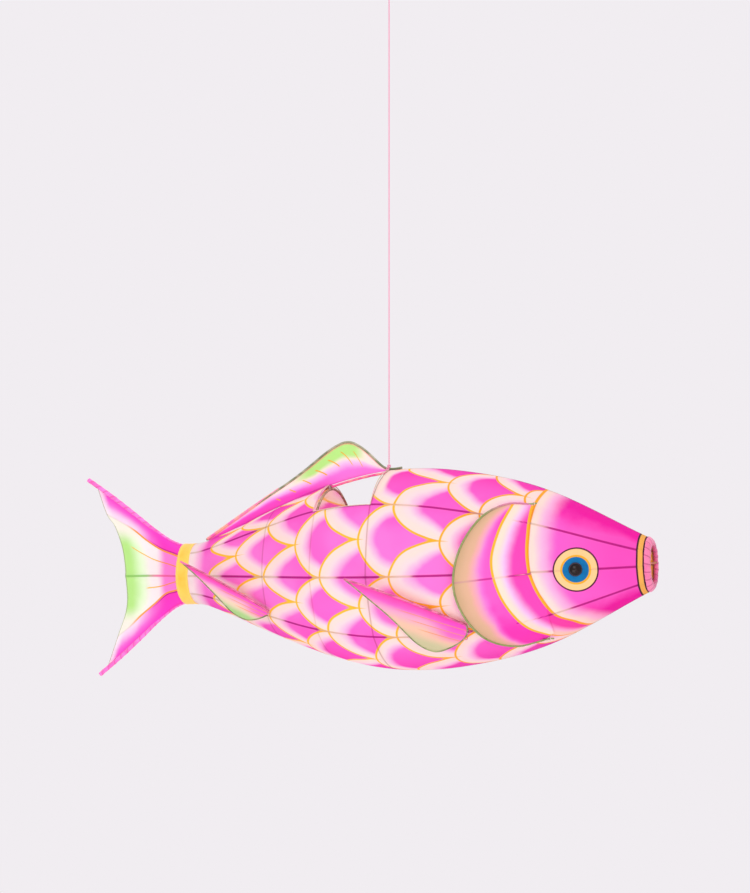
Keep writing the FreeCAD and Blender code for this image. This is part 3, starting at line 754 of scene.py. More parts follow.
def body_skin():
    edges = [TAIL_X, WRIST_X, REAR_X, HATCH_REAR, BACK_X, GIRTH_X, SHOULDER_X, GILL_X, MOUTH_X]
    rows = rows_between(edges, ROW_STEP)
    columns = len(GORES) * GORE_STEPS
    fields, points = {}, []
    for x in rows:
        row, length = scale_place(x), scale_length(x)
        ring = [skin_point(x, j // GORE_STEPS, (j % GORE_STEPS) / GORE_STEPS) for j in range(columns)]
        ring.append(ring[0])
        on_ribs = ring[::GORE_STEPS]
        widths = [(after[0] - before[0]).length for before, after in zip(on_ribs, on_ribs[1:])]
        walked = 0.0
        # the first column is drawn again as the last, with its own count of gores
        for j, (point, _) in enumerate(ring):
            gore, share = divmod(j % columns, GORE_STEPS)
            share /= GORE_STEPS
            rise = rise_angle(x, point.z) if abs(point.z) < half_height(x) else math.copysign(90, point.z)
            head, collar = x - head_edge(rise), x - collar_edge(rise)
            collar += (head - 2 * MM - collar) * ease(rise, COLLAR_TOP, COLLAR_TOP + 14)
            walked += (point - ring[j - 1][0]).length if j else 0.0
            points.append(point)
            note(
                fields, along=x, angle=rise, row=row, gore=j / GORE_STEPS, length=length, round=walked,
                width=widths[gore] * 1.03, rib=min(share, 1 - share) * widths[gore],
                head=head, collar=collar, eye=eye_reach(x, point.z) if x > GILL_X else 3.0,
            )
    open_rows = [i for i, x in enumerate(rows) if HATCH_REAR - 1e-9 <= x < GIRTH_X - 1e-9]
    top_gores = [g for g, (a, b) in enumerate(GORES) if {a[0], b[0]} == {"top", "upper"}]

    def in_hatch(i, j):
        return i in open_rows and j // GORE_STEPS in top_gores

    faces = grid_faces(len(rows), columns + 1, skip=in_hatch, turned=True)
    used = sorted({v for face in faces for v in face})
    index = {v: n for n, v in enumerate(used)}
    faces = [tuple(index[v] for v in face) for face in faces]
    kept = {name: [values[v] for v in used] for name, values in fields.items()}
    skin = make(
        "body_skin", [points[v] for v in used], faces, "fish", painted_skin(), "painted_skin",
        [name for name in nodes if name.startswith("skin_")], kept,
    )
    thicken_for_good(skin, CLOTH)


# ---------------------------------------------------------------- bamboo, cane and thread materials


def rod_material(name, dark, light, coat=0.0):
    """Split bamboo or cane: long fibres, a faint joint now and then, and a worn sheen."""
    paint = Paint(name, roughness=0.5, specular=0.45, coat=coat)
    fibres = paint.noise(260.0, 4.0, (0.12, 1.0, 1.0))
    made = paint.coats(
        dark,
        (fibres, 0.35, 0.68, light),
        (paint.step(paint.noise(22.0), 0.5, 0.8) * 0.35, dark),
    )
    joint = paint.step(paint.stripes(paint.xyz()[0], 0.11), 0.9985, 0.9999)
    made = paint.mix(joint * 0.5, made, "5b4030")
    paint.bump(fibres + joint, 0.15 * MM, 0.6)
    return paint.colour(made)


def fibre_material(name, dark, light):
    """Twisted sewing thread, with painted shade in the grooves of its twist."""
    paint = Paint(name, roughness=0.8, sheen=0.3)
    x, y, z = paint.xyz()
    twist = paint.stripes(x + y + z, 0.9 * MM)
    paint.bump(twist, 0.12 * MM, 0.7)
    # painted shade: the twist's grooves in the dark colour and its ridges in the light one
    made = paint.mix(twist, dark, light)
    return paint.colour(paint.mix(paint.noise(300.0) * 0.3, made, dark))


def mottled_material(name, scale, low, high, dark, light, grain=800.0, depth=0.1 * MM, strength=0.4, **looks):
    """Worn cloth that runs from one colour to another in patches."""
    paint = Paint(name, **looks)
    made = paint.mix(paint.step(paint.noise(scale, 3.0), low, high), dark, light)
    paint.bump(paint.noise(grain, 3.0), depth, strength)
    return paint.colour(made)


BAMBOO = rod_material("bamboo_rod", "7d6048", "b8987a")
OLIVE = rod_material("olive_cane_rod", "5f6d3d", "8f9a64", coat=0.1)
GREEN = rod_material("tail_rib_rod", "86b85c", "a9d47c")
GREYISH = rod_material("dorsal_spar_rod", "66704e", "a09a80", coat=0.1)
MAROON = rod_material("maroon_cane_rod", "a83a66", "dc6a98", coat=0.1)
RED_BROWN = rod_material("crossbar_rod", "a04428", "cc7240")
LASHING = fibre_material("lashing_twist", "b9a89c", "efe6df")
STITCHES = fibre_material("stitching_twist", "b86a84", "eaa6b8")


def paint_nodes():
    plan = {
        BAMBOO: ["rib_", "tail_ring", "rear_ring", "back_ring", "girth_ring", "gill_ring", "mouth_hoop"],
        OLIVE: ["pectoral_fin_wire", "rear_fin_wire", "gill_hoop"],
        GREYISH: ["dorsal_fin_spar"],
        GREEN: ["tail_spar_middle"],
        MAROON: ["pectoral_fin_spar", "rear_fin_spar", "gill_strut"],
        RED_BROWN: ["mouth_crossbar"],
        LASHING: ["gill_ties"],
        STITCHES: ["pectoral_fin_ties", "rear_fin_ties"],
    }
    for material, starts in plan.items():
        for name, node in nodes.items():
            if name.startswith(tuple(starts)):
                repaint(node, material)


def frame_windings():
    """Short whippings of thread where each ring crosses a rib."""
    radius, thread = 1.3 * MM + 0.45 * MM, 0.35 * MM
    rib_depth = 3.0 * MM
    shapes = []
    for ring_x in (REAR_X, BACK_X, GIRTH_X, GILL_X):
        for rib, side in AROUND:
            if ring_x == GIRTH_X and rib == "top":
                continue
            x = ring_x - 2.6 * MM
            centre = on_body(x, full_angle(rib, side, x), rib_depth)
            ahead = on_body(x + MM, full_angle(rib, side, x + MM), rib_depth)
            along = (ahead - centre).normalized()
            across = along.orthogonal().normalized()
            up = along.cross(across)
            turns, steps = 4, 14
            line = []
            for i in range(turns * steps + 1):
                a = 2 * math.pi * i / steps
                slide = (i / (turns * steps) - 0.5) * turns * 2 * thread
                line.append(centre + along * slide + (across * math.cos(a) + up * math.sin(a)) * radius)
            shapes.append(tube(line, thread, sides=6))
    make("frame_windings", *joined(shapes), "fish", LASHING, "lashing_thread", ["frame_lashings"])


# ---------------------------------------------------------------- cloth bands


def wound_cloth(name, light, worn, edge):
    """Cloth wound round a rod, in overlapping turns."""
    paint = Paint(name, roughness=0.8, sheen=0.35, specular=0.3)
    made = paint.mix(paint.step(paint.noise(55.0, 4.0), 0.4, 0.75), light, worn)
    lap = paint.step(paint.stripes(paint.attribute("turn"), 1.0 * MM), 0.86, 0.97)
    made = paint.mix(lap * 0.55, made, edge)
    threads = paint.stripes(paint.attribute("round"), 0.8 * MM)
    paint.bump(threads + paint.noise(700.0, 3.0) * 0.8, 0.12 * MM, 0.5)
    return paint.colour(made)


def mouth_binding():
    """The mouth's rim: a strip of pink cloth wound over the hoop and the skin's end in slanting turns."""
    # the rim's section: place along the body, and how far out from the hoop's own oval
    section = (
        (-4.4, 7.3), (-3.3, 7.5), (-1.9, 6.8), (-0.5, 5.6), (0.6, 4.1), (1.4, 2.6), (1.9, 1.0),
        (1.8, -0.6), (1.0, -1.8), (-0.3, -2.3), (-1.5, -2.0), (-2.3, -1.0), (-2.8, 0.6), (-3.2, 2.4),
        (-3.8, 4.2), (-4.5, 5.8),
    )
    count, wraps = 320, 20
    middle_x = MOUTH_X + 4.2 * MM
    high, wide = 25.8 * MM, 21.8 * MM
    points, fields = [], {}
    for i, a in enumerate(circle(count)):
        for k, (x, out) in enumerate(section):
            lap = (wraps * i / count + 0.6 * k / len(section)) % 1.0
            worn = 0.10 * math.sin(23 * a + 1.7 * k) + 0.14 * math.sin(9 * a + 0.8 * k)
            size = (1 + (0.55 * (1 - lap) ** 1.3 + worn) / math.hypot(x, out)) * MM
            points.append(
                (middle_x + x * size, (wide + out * size) * math.sin(a), (high + out * size) * math.cos(a))
            )
            note(fields, turn=lap * MM, round=1.7 * MM * k)
    faces = grid_faces(count, len(section), wrap_rows=True, wrap_columns=True, turned=True)
    cloth = wound_cloth("pink_binding", "e0709a", "c44c80", "8c2c58")
    make("mouth_binding_wound", points, faces, "fish", cloth, "pink_binding", ["mouth_binding"], fields)


def tail_band():
    """A yellow cloth band folded over the skin at the tail, its hems turned under."""
    width, count = 15.0 * MM, 160
    profile = (
        (-0.10, -1.6), (-0.13, -0.4), (-0.08, 0.7), (0.02, 1.0), (0.12, 0.85), (0.3, 0.75), (0.5, 0.8),
        (0.7, 0.75), (0.86, 0.85), (0.95, 1.0), (1.0, 0.75), (1.0, 0.15),
    )
    verts, fields = [], {}
    high, wide = half_height(TAIL_X) + 0.5 * MM, half_width(TAIL_X) + 0.5 * MM
    for a in circle(count):
        for share, lift in profile:
            x = TAIL_X + width * share + 0.5 * MM * math.sin(3 * a)
            puff = lift * 0.9 * MM + 0.12 * MM * math.sin(17 * a + 9 * share)
            verts.append((x, (wide + puff) * math.cos(a), (high + puff) * math.sin(a)))
            note(fields, along=width * share, round=high * a)
    faces = grid_faces(count, len(profile), wrap_rows=True)
    paint = Paint("yellow_band", roughness=0.7, sheen=0.2, specular=0.35)
    along = paint.attribute("along")
    shade = paint.mix(paint.step(paint.noise(30.0, 3.0), 0.35, 0.7), "e6a826", "efbe4c")
    edge = 1.0 - paint.line(along - 7.2 * MM, 5.6 * MM, 1.4 * MM)
    shade = paint.mix(edge * 0.7, shade, "f7c15a")
    weave(paint, along, paint.attribute("round"))
    make("tail_band_cloth", verts, faces, "fish", paint.colour(shade), "yellow_cloth", ["tail_band"], fields)


# ---------------------------------------------------------------- dorsal fin

DORSAL_TAIL, DORSAL_PEAK, DORSAL_PEAK_Z = -0.2490, -0.0530, 0.1615


def dorsal_crest():
    """The spar's line, from the tail to where it meets the back."""
    foot = half_height(DORSAL_TAIL)
    climb, run = DORSAL_PEAK_Z - foot, DORSAL_PEAK - DORSAL_TAIL
    return [
        (DORSAL_TAIL, foot + 2.0 * MM),
        (DORSAL_TAIL + 0.36 * run, foot + 0.38 * climb),
        (DORSAL_TAIL + 0.72 * run, foot + 0.745 * climb),
        (DORSAL_PEAK - 17 * MM, DORSAL_PEAK_Z - 5 * MM),
        (DORSAL_PEAK, DORSAL_PEAK_Z),
        (DORSAL_PEAK + 16 * MM, DORSAL_PEAK_Z - 6.5 * MM),
        (DORSAL_PEAK + 38 * MM, DORSAL_PEAK_Z - 26 * MM),
        (DORSAL_PEAK + 50 * MM, half_height(0.0) + 2.6 * MM),
    ]


DORSAL_RAYS = (-0.0470, -0.0640, -0.0815, -0.0990, -0.1170, -0.1350, -0.1530)  # the rays' upper ends


def dorsal_material():
    paint = Paint("dorsal_paint", roughness=0.7, specular=0.2)
    along, depth, tall, share = paint.attributes("along depth tall share")
    wobbly = airbrush(paint, share, 0.16) - (1.0 - paint.step(along, -0.175, -0.095)) * 0.36
    base = paint.mix(paint.step(along, -0.12, -0.05), HOT_PINK, PINK)
    made = paint.coats(
        base,
        (wobbly, 0.10, 0.34, PINK),
        (wobbly, 0.22, 0.46, PALE_PINK),
        (wobbly, 0.42, 0.58, "fbe9e4"),
    )
    leafy = paint.step(along, -0.135, -0.105) * (1.0 - paint.step(along, -0.046, -0.026))
    made = paint.mix(paint.step(wobbly, 0.50, 0.70) * leafy, made, LEAF)
    # short rays that curve down towards the head, each from its own place below the crest
    run = depth - 9 * MM
    bend = run * 1.05 + run * run * -9.0
    lit = paint.step(run, 0.0, 2 * MM) * (1.0 - paint.step(run, 17 * MM, 20 * MM))
    lit = lit * paint.step(share, 0.30, 0.36) * paint.step(tall, 15 * MM, 22 * MM)
    for start in DORSAL_RAYS:
        made = paint.mix(paint.line(along - start - bend, 0.75 * MM, 0.3 * MM) * lit, made, "f0b428")
    edge = 1.0 - paint.step(depth, 1.6 * MM, 3.4 * MM)
    made = paint.mix(edge * 0.75, made, "f2a28e")
    paint.glow_through(made, 0.3)
    weave(paint, along, depth)
    return paint.colour(made)


def dorsal_fin():
    """An upright sheet between the back and the bent spar, filled out a little between them."""
    xs, zs = zip(*dorsal_crest())
    rows, columns = rows_between([xs[0] + 3 * MM, xs[-1] - 0.5 * MM], 2.5 * MM), 17
    points, fields = [], {}
    for x in rows:
        top, base = smooth(x, xs, zs) - 0.3 * MM, half_height(x) - 0.6 * MM
        tall = top - base
        for share in evenly(0.0, 1.0, columns):
            bow = 1.6 * MM * math.sin(math.pi * share) * math.sin(x * 42) * ease(tall, 6 * MM, 30 * MM)
            points.append((x, bow, base + tall * share))
            note(fields, along=x, depth=tall * (1 - share), share=share, tall=tall)
    sheet = make(
        "dorsal_fin_cloth", points, grid_faces(len(rows), columns), "fish", dorsal_material(),
        "painted_fin_cloth", ["dorsal_fin_skin"], fields,
    )
    thicken(sheet, 0.7 * MM, 0.0)

    # its edge is rolled over the spar on the way down to the tail
    def hem_radius(i, k):
        return (1.85 - 0.7 * ease(i, 30, 63) + 0.1 * math.sin(1.3 * i + 2 * k)) * MM

    line = [(x, 0.0, smooth(x, xs, zs) + 0.25 * MM) for x in evenly(xs[0] + 1 * MM, -0.148, 64)]
    cloth = mottled_material("dorsal_hem", 60.0, 0.38, 0.62, "f06ab0", "f5a58c", roughness=0.75, specular=0.2)
    make("dorsal_fin_hem", *tube(line, hem_radius, sides=12), "fish", cloth, "painted_fin_cloth")

    # the sheet's foot is wrapped round the top rib across the hatch
    def sleeve_radius(i, k):
        return (1.55 + 0.1 * math.sin(1.7 * i + k)) * MM

    line = [on_body(x, 90.0, 3.0 * MM) for x in evenly(HATCH_REAR + 2 * MM, GIRTH_X - 4 * MM, 24)]
    cloth = mottled_material("rib_sleeve", 70.0, 0.4, 0.65, "f0569e", "ffab8c", roughness=0.7, sheen=0.2)
    make("hatch_rib_sleeve", *tube(line, sleeve_radius, sides=12), "fish", cloth, "painted_fin_cloth")


# ---------------------------------------------------------------- tail fin

TAIL_TIP, TAIL_TIP_Z = -0.4120, 0.1250
TAIL_LOW_TIP, TAIL_LOW_TIP_Z = -0.4040, 0.1280
PINCH_X = -0.3380  # where the tail's two sheets meet
TAIL_SPAR = 4.4 * MM


def tail_edge(sign, tip_x, tip_z):
    """The line of the tail's upper (sign 1) or lower (-1) spar, from the ring to the tip."""
    start = TAIL_X - 1 * MM
    root = half_height(start) - TAIL_SPAR / 2 - 0.4 * MM
    reach, rise = start - tip_x, tip_z - root
    return [
        (start, sign * root),
        (start - 0.15 * reach, sign * (root + 0.09 * rise)),
        (start - 0.33 * reach, sign * (root + 0.27 * rise)),
        (start - 0.52 * reach, sign * (root + 0.49 * rise)),
        (start - 0.76 * reach, sign * (root + 0.755 * rise)),
        (tip_x, sign * tip_z),
    ]


def along_line(points, share):
    """The point at a share of a smooth line's points."""
    steps = range(len(points))
    return tuple(smooth(share * steps[-1], steps, values) for values in zip(*points))


UPPER_SPAR = tail_edge(1, TAIL_TIP, TAIL_TIP_Z)
LOWER_SPAR = tail_edge(-1, TAIL_LOW_TIP, TAIL_LOW_TIP_Z)


def spar_line(edge, x):
    return smooth(x, *zip(*reversed(edge)))


TAIL_TRAILING = (
    (-0.4000, spar_line(UPPER_SPAR, -0.4000)), (-0.3875, 0.0800), (-0.3765, 0.0640), (-0.3675, 0.0385),
    (-0.3640, 0.0160), (-0.3630, -0.0060), (-0.3620, -0.0300), (-0.3655, -0.0500), (-0.3775, -0.0795),
    (-0.3935, spar_line(LOWER_SPAR, -0.3935)),
)
# the lines painted over the two ribs inside the tail's cloth: place along the fish, and height
UPPER_LINE = ((-0.3875, 0.0800), (-0.3524, 0.0602), (-0.3313, 0.0443), (-0.3082, 0.0320), (-0.2830, 0.0247))
LOWER_LINE = (
    (-0.3775, -0.0795), (-0.3588, -0.0658), (-0.3425, -0.0515), (-0.3223, -0.0373), (-0.3023, -0.0241),
    (-0.2830, -0.0195),
)
UPPER_RAY = ((-0.3552, 0.0376), (-0.3397, 0.0282), (-0.3204, 0.0196), (-0.2864, 0.0122))
LOWER_RAY = ((-0.3354, -0.0172), (-0.3118, -0.0149), (-0.2881, -0.0099))


def line_height(line, x):
    """The height of a line at x. Beyond its ends it runs on straight."""
    if line[0][0] <= x <= line[-1][0]:
        return smooth(x, *zip(*line))
    (x0, z0), (x1, z1) = line[:2] if x < line[0][0] else line[-2:]
    return z0 + (z1 - z0) * (x - x0) / (x1 - x0)


def past_line(x, z):
    """How far a point lies outside the painted lines, towards the nearer spar."""
    line = UPPER_LINE if z >= 0 else LOWER_LINE
    slope = (line_height(line, x + MM) - line_height(line, x - MM)) / (2 * MM)
    return (abs(z) - abs(line_height(line, x))) / math.hypot(1.0, slope)


def tail_material():
    paint = Paint("tail_paint", roughness=0.7, specular=0.2)
    along, height, outside = paint.attributes("along height outside")
    trailing = airbrush(paint, paint.attribute("trailing"), 9 * MM)
    rooted = airbrush(paint, along, 8 * MM)
    # between the lines: green at the trailing edge, white, and pink by the band
    centre = paint.coats(
        LEAF,
        (trailing, 6 * MM, 24 * MM, PALE_LEAF),
        (trailing, 20 * MM, 36 * MM, WHITE_CLOTH),
        (abs(height), 38 * MM, 62 * MM, "f3efe2"),
        (rooted, -0.316, -0.299, "ff8ade"),
    )
    # outside them: white by the line, then pink to the spars and at the root
    edge = airbrush(paint, outside, 7 * MM)
    by_line = (1.0 - paint.step(edge, 2 * MM, 15 * MM)) * (1.0 - paint.step(rooted, -0.352, -0.322))
    lobe = paint.coats(
        "fb7cdc",
        (by_line, "f8dcee"),
        (paint.attribute("spar"), -16 * MM, -3 * MM, HOT_PINK),
        ((1.0 - paint.step(trailing, 2 * MM, 14 * MM)) * 0.75, WHITE_CLOTH),
        (rooted, -0.335, -0.300, "ff3cc8"),
    )
    fade = paint.step(along, -0.366, -0.345)
    shade = paint.line(outside - 1.8 * MM, 0.9 * MM, 0.5 * MM) * paint.step(along, -0.34, -0.30)
    made = paint.coats(
        centre,
        (outside, -0.3 * MM, 0.3 * MM, lobe),
        (paint.line(outside, 1.0 * MM, 0.4 * MM) * (fade * 0.7 + 0.3), paint.mix(fade, "d8cfc4", "ffa63e")),
        (shade * 0.7, RIB_SHADOW_ON_PINK),
    )
    warm = paint.mix(paint.step(along, -0.325, -0.300), "f4c83a", "ff9a50")
    for ray, start in (("upper_ray", -0.356), ("lower_ray", -0.336)):
        mark = paint.line(paint.attribute(ray), 0.7 * MM, 0.35 * MM)
        made = paint.mix(mark * paint.step(along, start, start + 6 * MM), made, warm)
    # painted shadow of the middle spar inside the cloth: green among the green paint, pink by the band
    rib = paint.line(height + 1.2 * MM, 1.3 * MM, 0.6 * MM)
    hem = 1.0 - paint.step(paint.attribute("trailing"), 0.8 * MM, 1.8 * MM)
    made = paint.coats(
        made,
        (rib * 0.8, paint.mix(paint.step(along, -0.336, -0.315), "86c45c", "f0609a")),
        (hem * 0.6, "a8b884"),
    )
    paint.glow_through(made, 0.3)
    weave(paint, along, height)
    return paint.colour(made)


def tail_fin():
    """The forked tail: two sheets that leave the ring as a tube and close on each other."""
    start = TAIL_X - 1 * MM
    rows, columns = 105, 57
    points, faces, fields = [], [], {}
    root_top, root_low = UPPER_SPAR[0][1], LOWER_SPAR[0][1]
    # a row runs from the ring to the trailing edge: the first along the upper spar, the last along the lower
    for side in SIDES.values():
        faces += grid_faces(rows, columns, start=len(points), turned=side == -1)
        for share in evenly(0.0, 1.0, rows):
            end_x, end_z = along_line(TAIL_TRAILING, share)
            near_upper, near_lower = 1 - ease(share, 0.0, 0.5), ease(share, 0.5, 1.0)
            pull = max(near_upper, near_lower) ** 2
            spar, root = (UPPER_SPAR, root_top) if near_upper else (LOWER_SPAR, root_low)
            end_spar = spar_line(spar, end_x)
            root_between = root_top + (root_low - root_top) * share
            for step in evenly(0.0, 1.0, columns):
                x = start + (end_x - start) * step
                top, low = spar_line(UPPER_SPAR, x), spar_line(LOWER_SPAR, x)
                straight = root_between + (end_z - root_between) * step
                lag = root + (end_z - root) * step
                held = (top if near_upper else low) + (end_z - end_spar) * step
                z = min(max(straight + (held - lag) * pull, low), top)
                middle, half = (top + low) / 2, (top - low) / 2
                profile = max(1 - ((z - middle) / half) ** 2, 0.0) ** 0.4
                closing = min((x - start) / (PINCH_X - start), 1.0)
                bulge = (half_width(TAIL_X) - 0.8 * MM) * (1 - closing) ** 1.6
                over_rib = 1.5 * MM * math.exp(-(((z + 1.2 * MM) / (3.0 * MM)) ** 2)) * closing
                billow = 0.5 * MM * math.sin(math.pi * step) * math.sin(5 * math.pi * share + 0.6) * closing
                out = 0.45 * MM + bulge * profile + over_rib
                points.append((x, side * out + billow * profile, z))
                note(
                    fields, along=x, height=z, outside=past_line(x, z), spar=max(z - top, low - z),
                    trailing=math.hypot(end_x - x, end_z - z) * 0.9,
                    upper_ray=z - line_height(UPPER_RAY, x), lower_ray=z - line_height(LOWER_RAY, x),
                )
    sheet = make(
        "tail_cloth", points, faces, "fish", tail_material(), "painted_fin_cloth",
        ["tail_fin_skin", "tail_root_skin"], fields,
    )
    thicken(sheet, 0.4 * MM, even=False)


def rolled_spars():
    """The pink cloth that the tail's two outer spars are rolled in."""
    count, sides = 150, 14

    def lap(i, k):
        return (i / 9 + k / sides) % 1.0

    def radius(i, k):
        worn = 0.03 * math.sin(0.9 * i + 2.1 * k)
        thick = 1.0 + 0.28 * ease(i / count, 0.3, 0.9)
        return TAIL_SPAR / 2 * thick * (0.95 + worn + 0.10 * (1 - lap(i, k)) ** 1.5)

    fields = {}
    for i in range(count):
        for k, turn in enumerate(circle(sides)):
            note(fields, turn=lap(i, k) * MM, round=2.2 * MM * turn)
    for name, edge in (("upper", UPPER_SPAR), ("lower", LOWER_SPAR)):
        line = [(x, 0.0, z) for x, z in (along_line(edge, s) for s in evenly(0.0, 1.0, count))]
        cloth = wound_cloth(f"rolled_spar_{name}", "f874c4", "ec52a8", "b83c84")
        make(f"tail_spar_{name}_rolled", *tube(line, radius, sides=sides), "fish", cloth, "wrapped_spar",
             [f"tail_spar_{name}"], fields)


# ---------------------------------------------------------------- paired fins

FINS = {
    "pectoral_fin": {
        "root": (0.1190, 0.0930, -0.0615),
        "heel": (0.1020, 0.0775, -0.0890),
        "tip": (-0.0160, 0.1400, -0.0045),
        "depth": 0.0570,
        "edge": [
            (-0.02, 0.05), (-0.052, 0.28), (-0.02, 0.56), (0.05, 0.82), (0.115, 0.97), (0.19, 1.0),
            (0.29, 0.935), (0.39, 0.79), (0.55, 0.54), (0.70, 0.35), (0.85, 0.17), (1.0, 0.0),
        ],
        "flat": (0.060, 0.158), "area": 0.0053,
        "colours": ("f8b4cc", "eecbb0", "cfcba0"),
    },
    "rear_fin": {
        "root": (-0.1450, 0.0645, -0.0410),
        "heel": (-0.1450, 0.0590, -0.0510),
        "tip": (-0.2515, 0.0830, 0.0190),
        "depth": 0.0350,
        "edge": [
            (-0.035, 0.12), (-0.03, 0.32), (0.01, 0.53), (0.08, 0.80), (0.15, 0.96), (0.235, 1.0),
            (0.32, 0.96), (0.43, 0.79), (0.55, 0.59), (0.66, 0.42), (0.80, 0.22), (0.93, 0.07), (1.0, 0.0),
        ],
        "flat": (0.038, 0.128), "area": 0.0026,
        "colours": ("fbc4d4", "eadcc0", "b6dc94"),
    },
}


def fin_plane(form, side):
    """A paired fin's plane: its x runs from the root to the tip and its y down the fin."""
    root, heel, tip = (Vector((x, side * y, z)) for x, y, z in (form["root"], form["heel"], form["tip"]))
    along = (tip - root).normalized()
    down = along.cross((heel - root).cross(along)).normalized()
    return root, along, down, along.cross(down), (tip - root).length


def fin_material(fin):
    """Pink along the spar with orange rays, then beige or green towards the lower edge."""
    paint = Paint(f"{fin}_paint", roughness=0.7, specular=0.2)
    share, along, down = paint.attributes("share along down")
    pale, low, edge = FINS[fin]["colours"]
    wobbly = airbrush(paint, share, 0.14)
    made = paint.coats(
        "fb66c8",
        (wobbly, 0.16, 0.42, pale),
        (wobbly, 0.38, 0.60, low),
        (wobbly, 0.62, 0.88, edge),
        ((1.0 - paint.step(along, 0.10, 0.34)) * 0.8 * (1.0 - paint.step(wobbly, 0.42, 0.74)), HOT_PINK),
        ((1.0 - paint.step(wobbly, 0.02, 0.22)) * 0.6, "f23aa4"),
    )
    for level, reach in ((0.24, 0.62), (0.40, 0.50), (0.56, 0.40)):
        bent = (along - 0.2) * 0.16 + level
        ray = paint.line((share - bent) * down, 0.6 * MM, 0.35 * MM)
        ray = ray * (1.0 - paint.step(along, reach - 0.12, reach))
        made = paint.mix(ray * 0.75, made, "ff9a52")
    paint.glow_through(made, 0.34)
    weave(paint, along * 0.15, share * 0.06)
    return paint.colour(made)


def paired_fins():
    rows, columns = 61, 21
    for fin, form in FINS.items():
        material = fin_material(fin)
        edge, depth = form["edge"], form["depth"]
        first_x, first_y = edge[0]
        for side_name, side in SIDES.items():
            root, along, down, out, length = fin_plane(form, side)
            points, fields = [], {}
            for step in evenly(0.0, 1.0, rows):
                low_x, low_y = along_line(edge, step)
                # the top of each row lies on the spar, and the row fans from the root round to the tip
                top_x = first_x + (1.0 - first_x) * step
                top_y = first_y * depth * (1 - step) - 0.006 * 4 * step * (1 - step) * length
                for share in evenly(0.0, 1.0, columns):
                    a = (top_x + (low_x - top_x) * share) * length
                    b = top_y + (low_y * depth - top_y) * share
                    cup = 1.5 * MM * math.sin(math.pi * share) * math.sin(math.pi * min(step * 1.3, 1.0))
                    points.append(root + along * a + down * b + out * cup)
                    note(fields, share=min(max(b / depth, 0.0), 1.0) ** 0.9, down=depth,
                         along=max(a / length + 0.05, 0.0))
            sheet = make(
                f"{fin}_cloth_{side_name}", points, grid_faces(rows, columns), f"{side_name}_{fin}", material,
                "painted_fin_cloth", [f"{fin}_skin_{side_name}"], fields,
            )
            thicken(sheet, 0.7 * MM, 0.0)


# ---------------------------------------------------------------- gill covers

COVER_LONG, COVER_HIGH, COVER_DROP = 0.087, 0.086, 0.008
COVER_FRONT, COVER_REAR = 5.0 * MM, 13.5 * MM
COVER_TOP, COVER_LOW = 52.0, -62.0  # degrees above the side at which the front edge starts and ends
COVER_MOST = 0.2150
# the hoop in side view from its top end back and down, as shares of the cover's length and half height
HOOP_BACK = (0.06, 0.36, 0.655, 0.90, 1.0, 0.92, 0.69, 0.345, -0.035)
HOOP_UP = (1.0, 1.005, 0.83, 0.42, -0.06, -0.49, -0.86, -0.995, -0.92)


def hoop_line(share):
    """The hoop's x, z and lift off the body, share 0 at its top end and 1 at its bottom end."""
    steps = range(len(HOOP_BACK))
    at = share * steps[-1]
    x = GILL_X - COVER_LONG * smooth(at, steps, HOOP_BACK)
    z = COVER_HIGH * smooth(at, steps, HOOP_UP) - COVER_DROP
    swell = max(math.sin(math.pi * share), 0.0) ** 0.8
    return x, z, COVER_FRONT + (COVER_REAR - COVER_FRONT) * swell


def cover_front_line(share):
    """The cover's front edge, under the head's gold line above and flat on the collar below."""
    angle = COVER_TOP + (COVER_LOW - COVER_TOP) * share
    x = min(head_edge(angle) + 1 * MM, COVER_MOST)
    return x, half_height(x) * math.sin(math.radians(angle))


def below_the_stick(x, z):
    """How far below the cover's stick a point is in side view. The stick runs from gill ring to hoop."""
    top_x, top_z, _ = hoop_line(0.0)
    low_x, low_z, _ = hoop_line(1.0)
    hoop_x, hoop_z, _ = hoop_line(0.5)
    front_x, front_z = (top_x + low_x) / 2 + 6 * MM, (top_z + low_z) / 2
    return front_z + (hoop_z - front_z) * (front_x - x) / (front_x - hoop_x) - z


def gill_material():
    paint = Paint("gill_paint", roughness=0.7, specular=0.2)
    across, angle = paint.attributes("across angle")
    back = airbrush(paint, across, 0.10) - paint.attribute("end") * 0.34
    deep = paint.step(abs(airbrush(paint, angle, 30.0)), 16.0, 50.0)
    near = 1.0 - paint.step(back, 0.56, 0.72)
    made = paint.coats(
        PINK,
        (back, 0.58, 0.74, "fba0cc"),
        (back, 0.64, 0.84, BEIGE),
        (paint.step(back, 0.80, 1.05) * 0.6, "b8a070"),
        (near * (0.72 + deep * 0.28), "f84cba"),
        (near * deep * 0.5, MAGENTA),
    )
    made = front_colours(paint, made, angle, 1.5 * MM)
    made = rib_shadow(paint, made, paint.attribute("strut"), 1.2 * MM)
    made = rib_shadow(paint, made, paint.attribute("rib"), 1.0 * MM)
    paint.glow_through(made, 0.3)
    weave(paint, paint.attribute("collar"), paint.attribute("height"))
    return paint.colour(made)


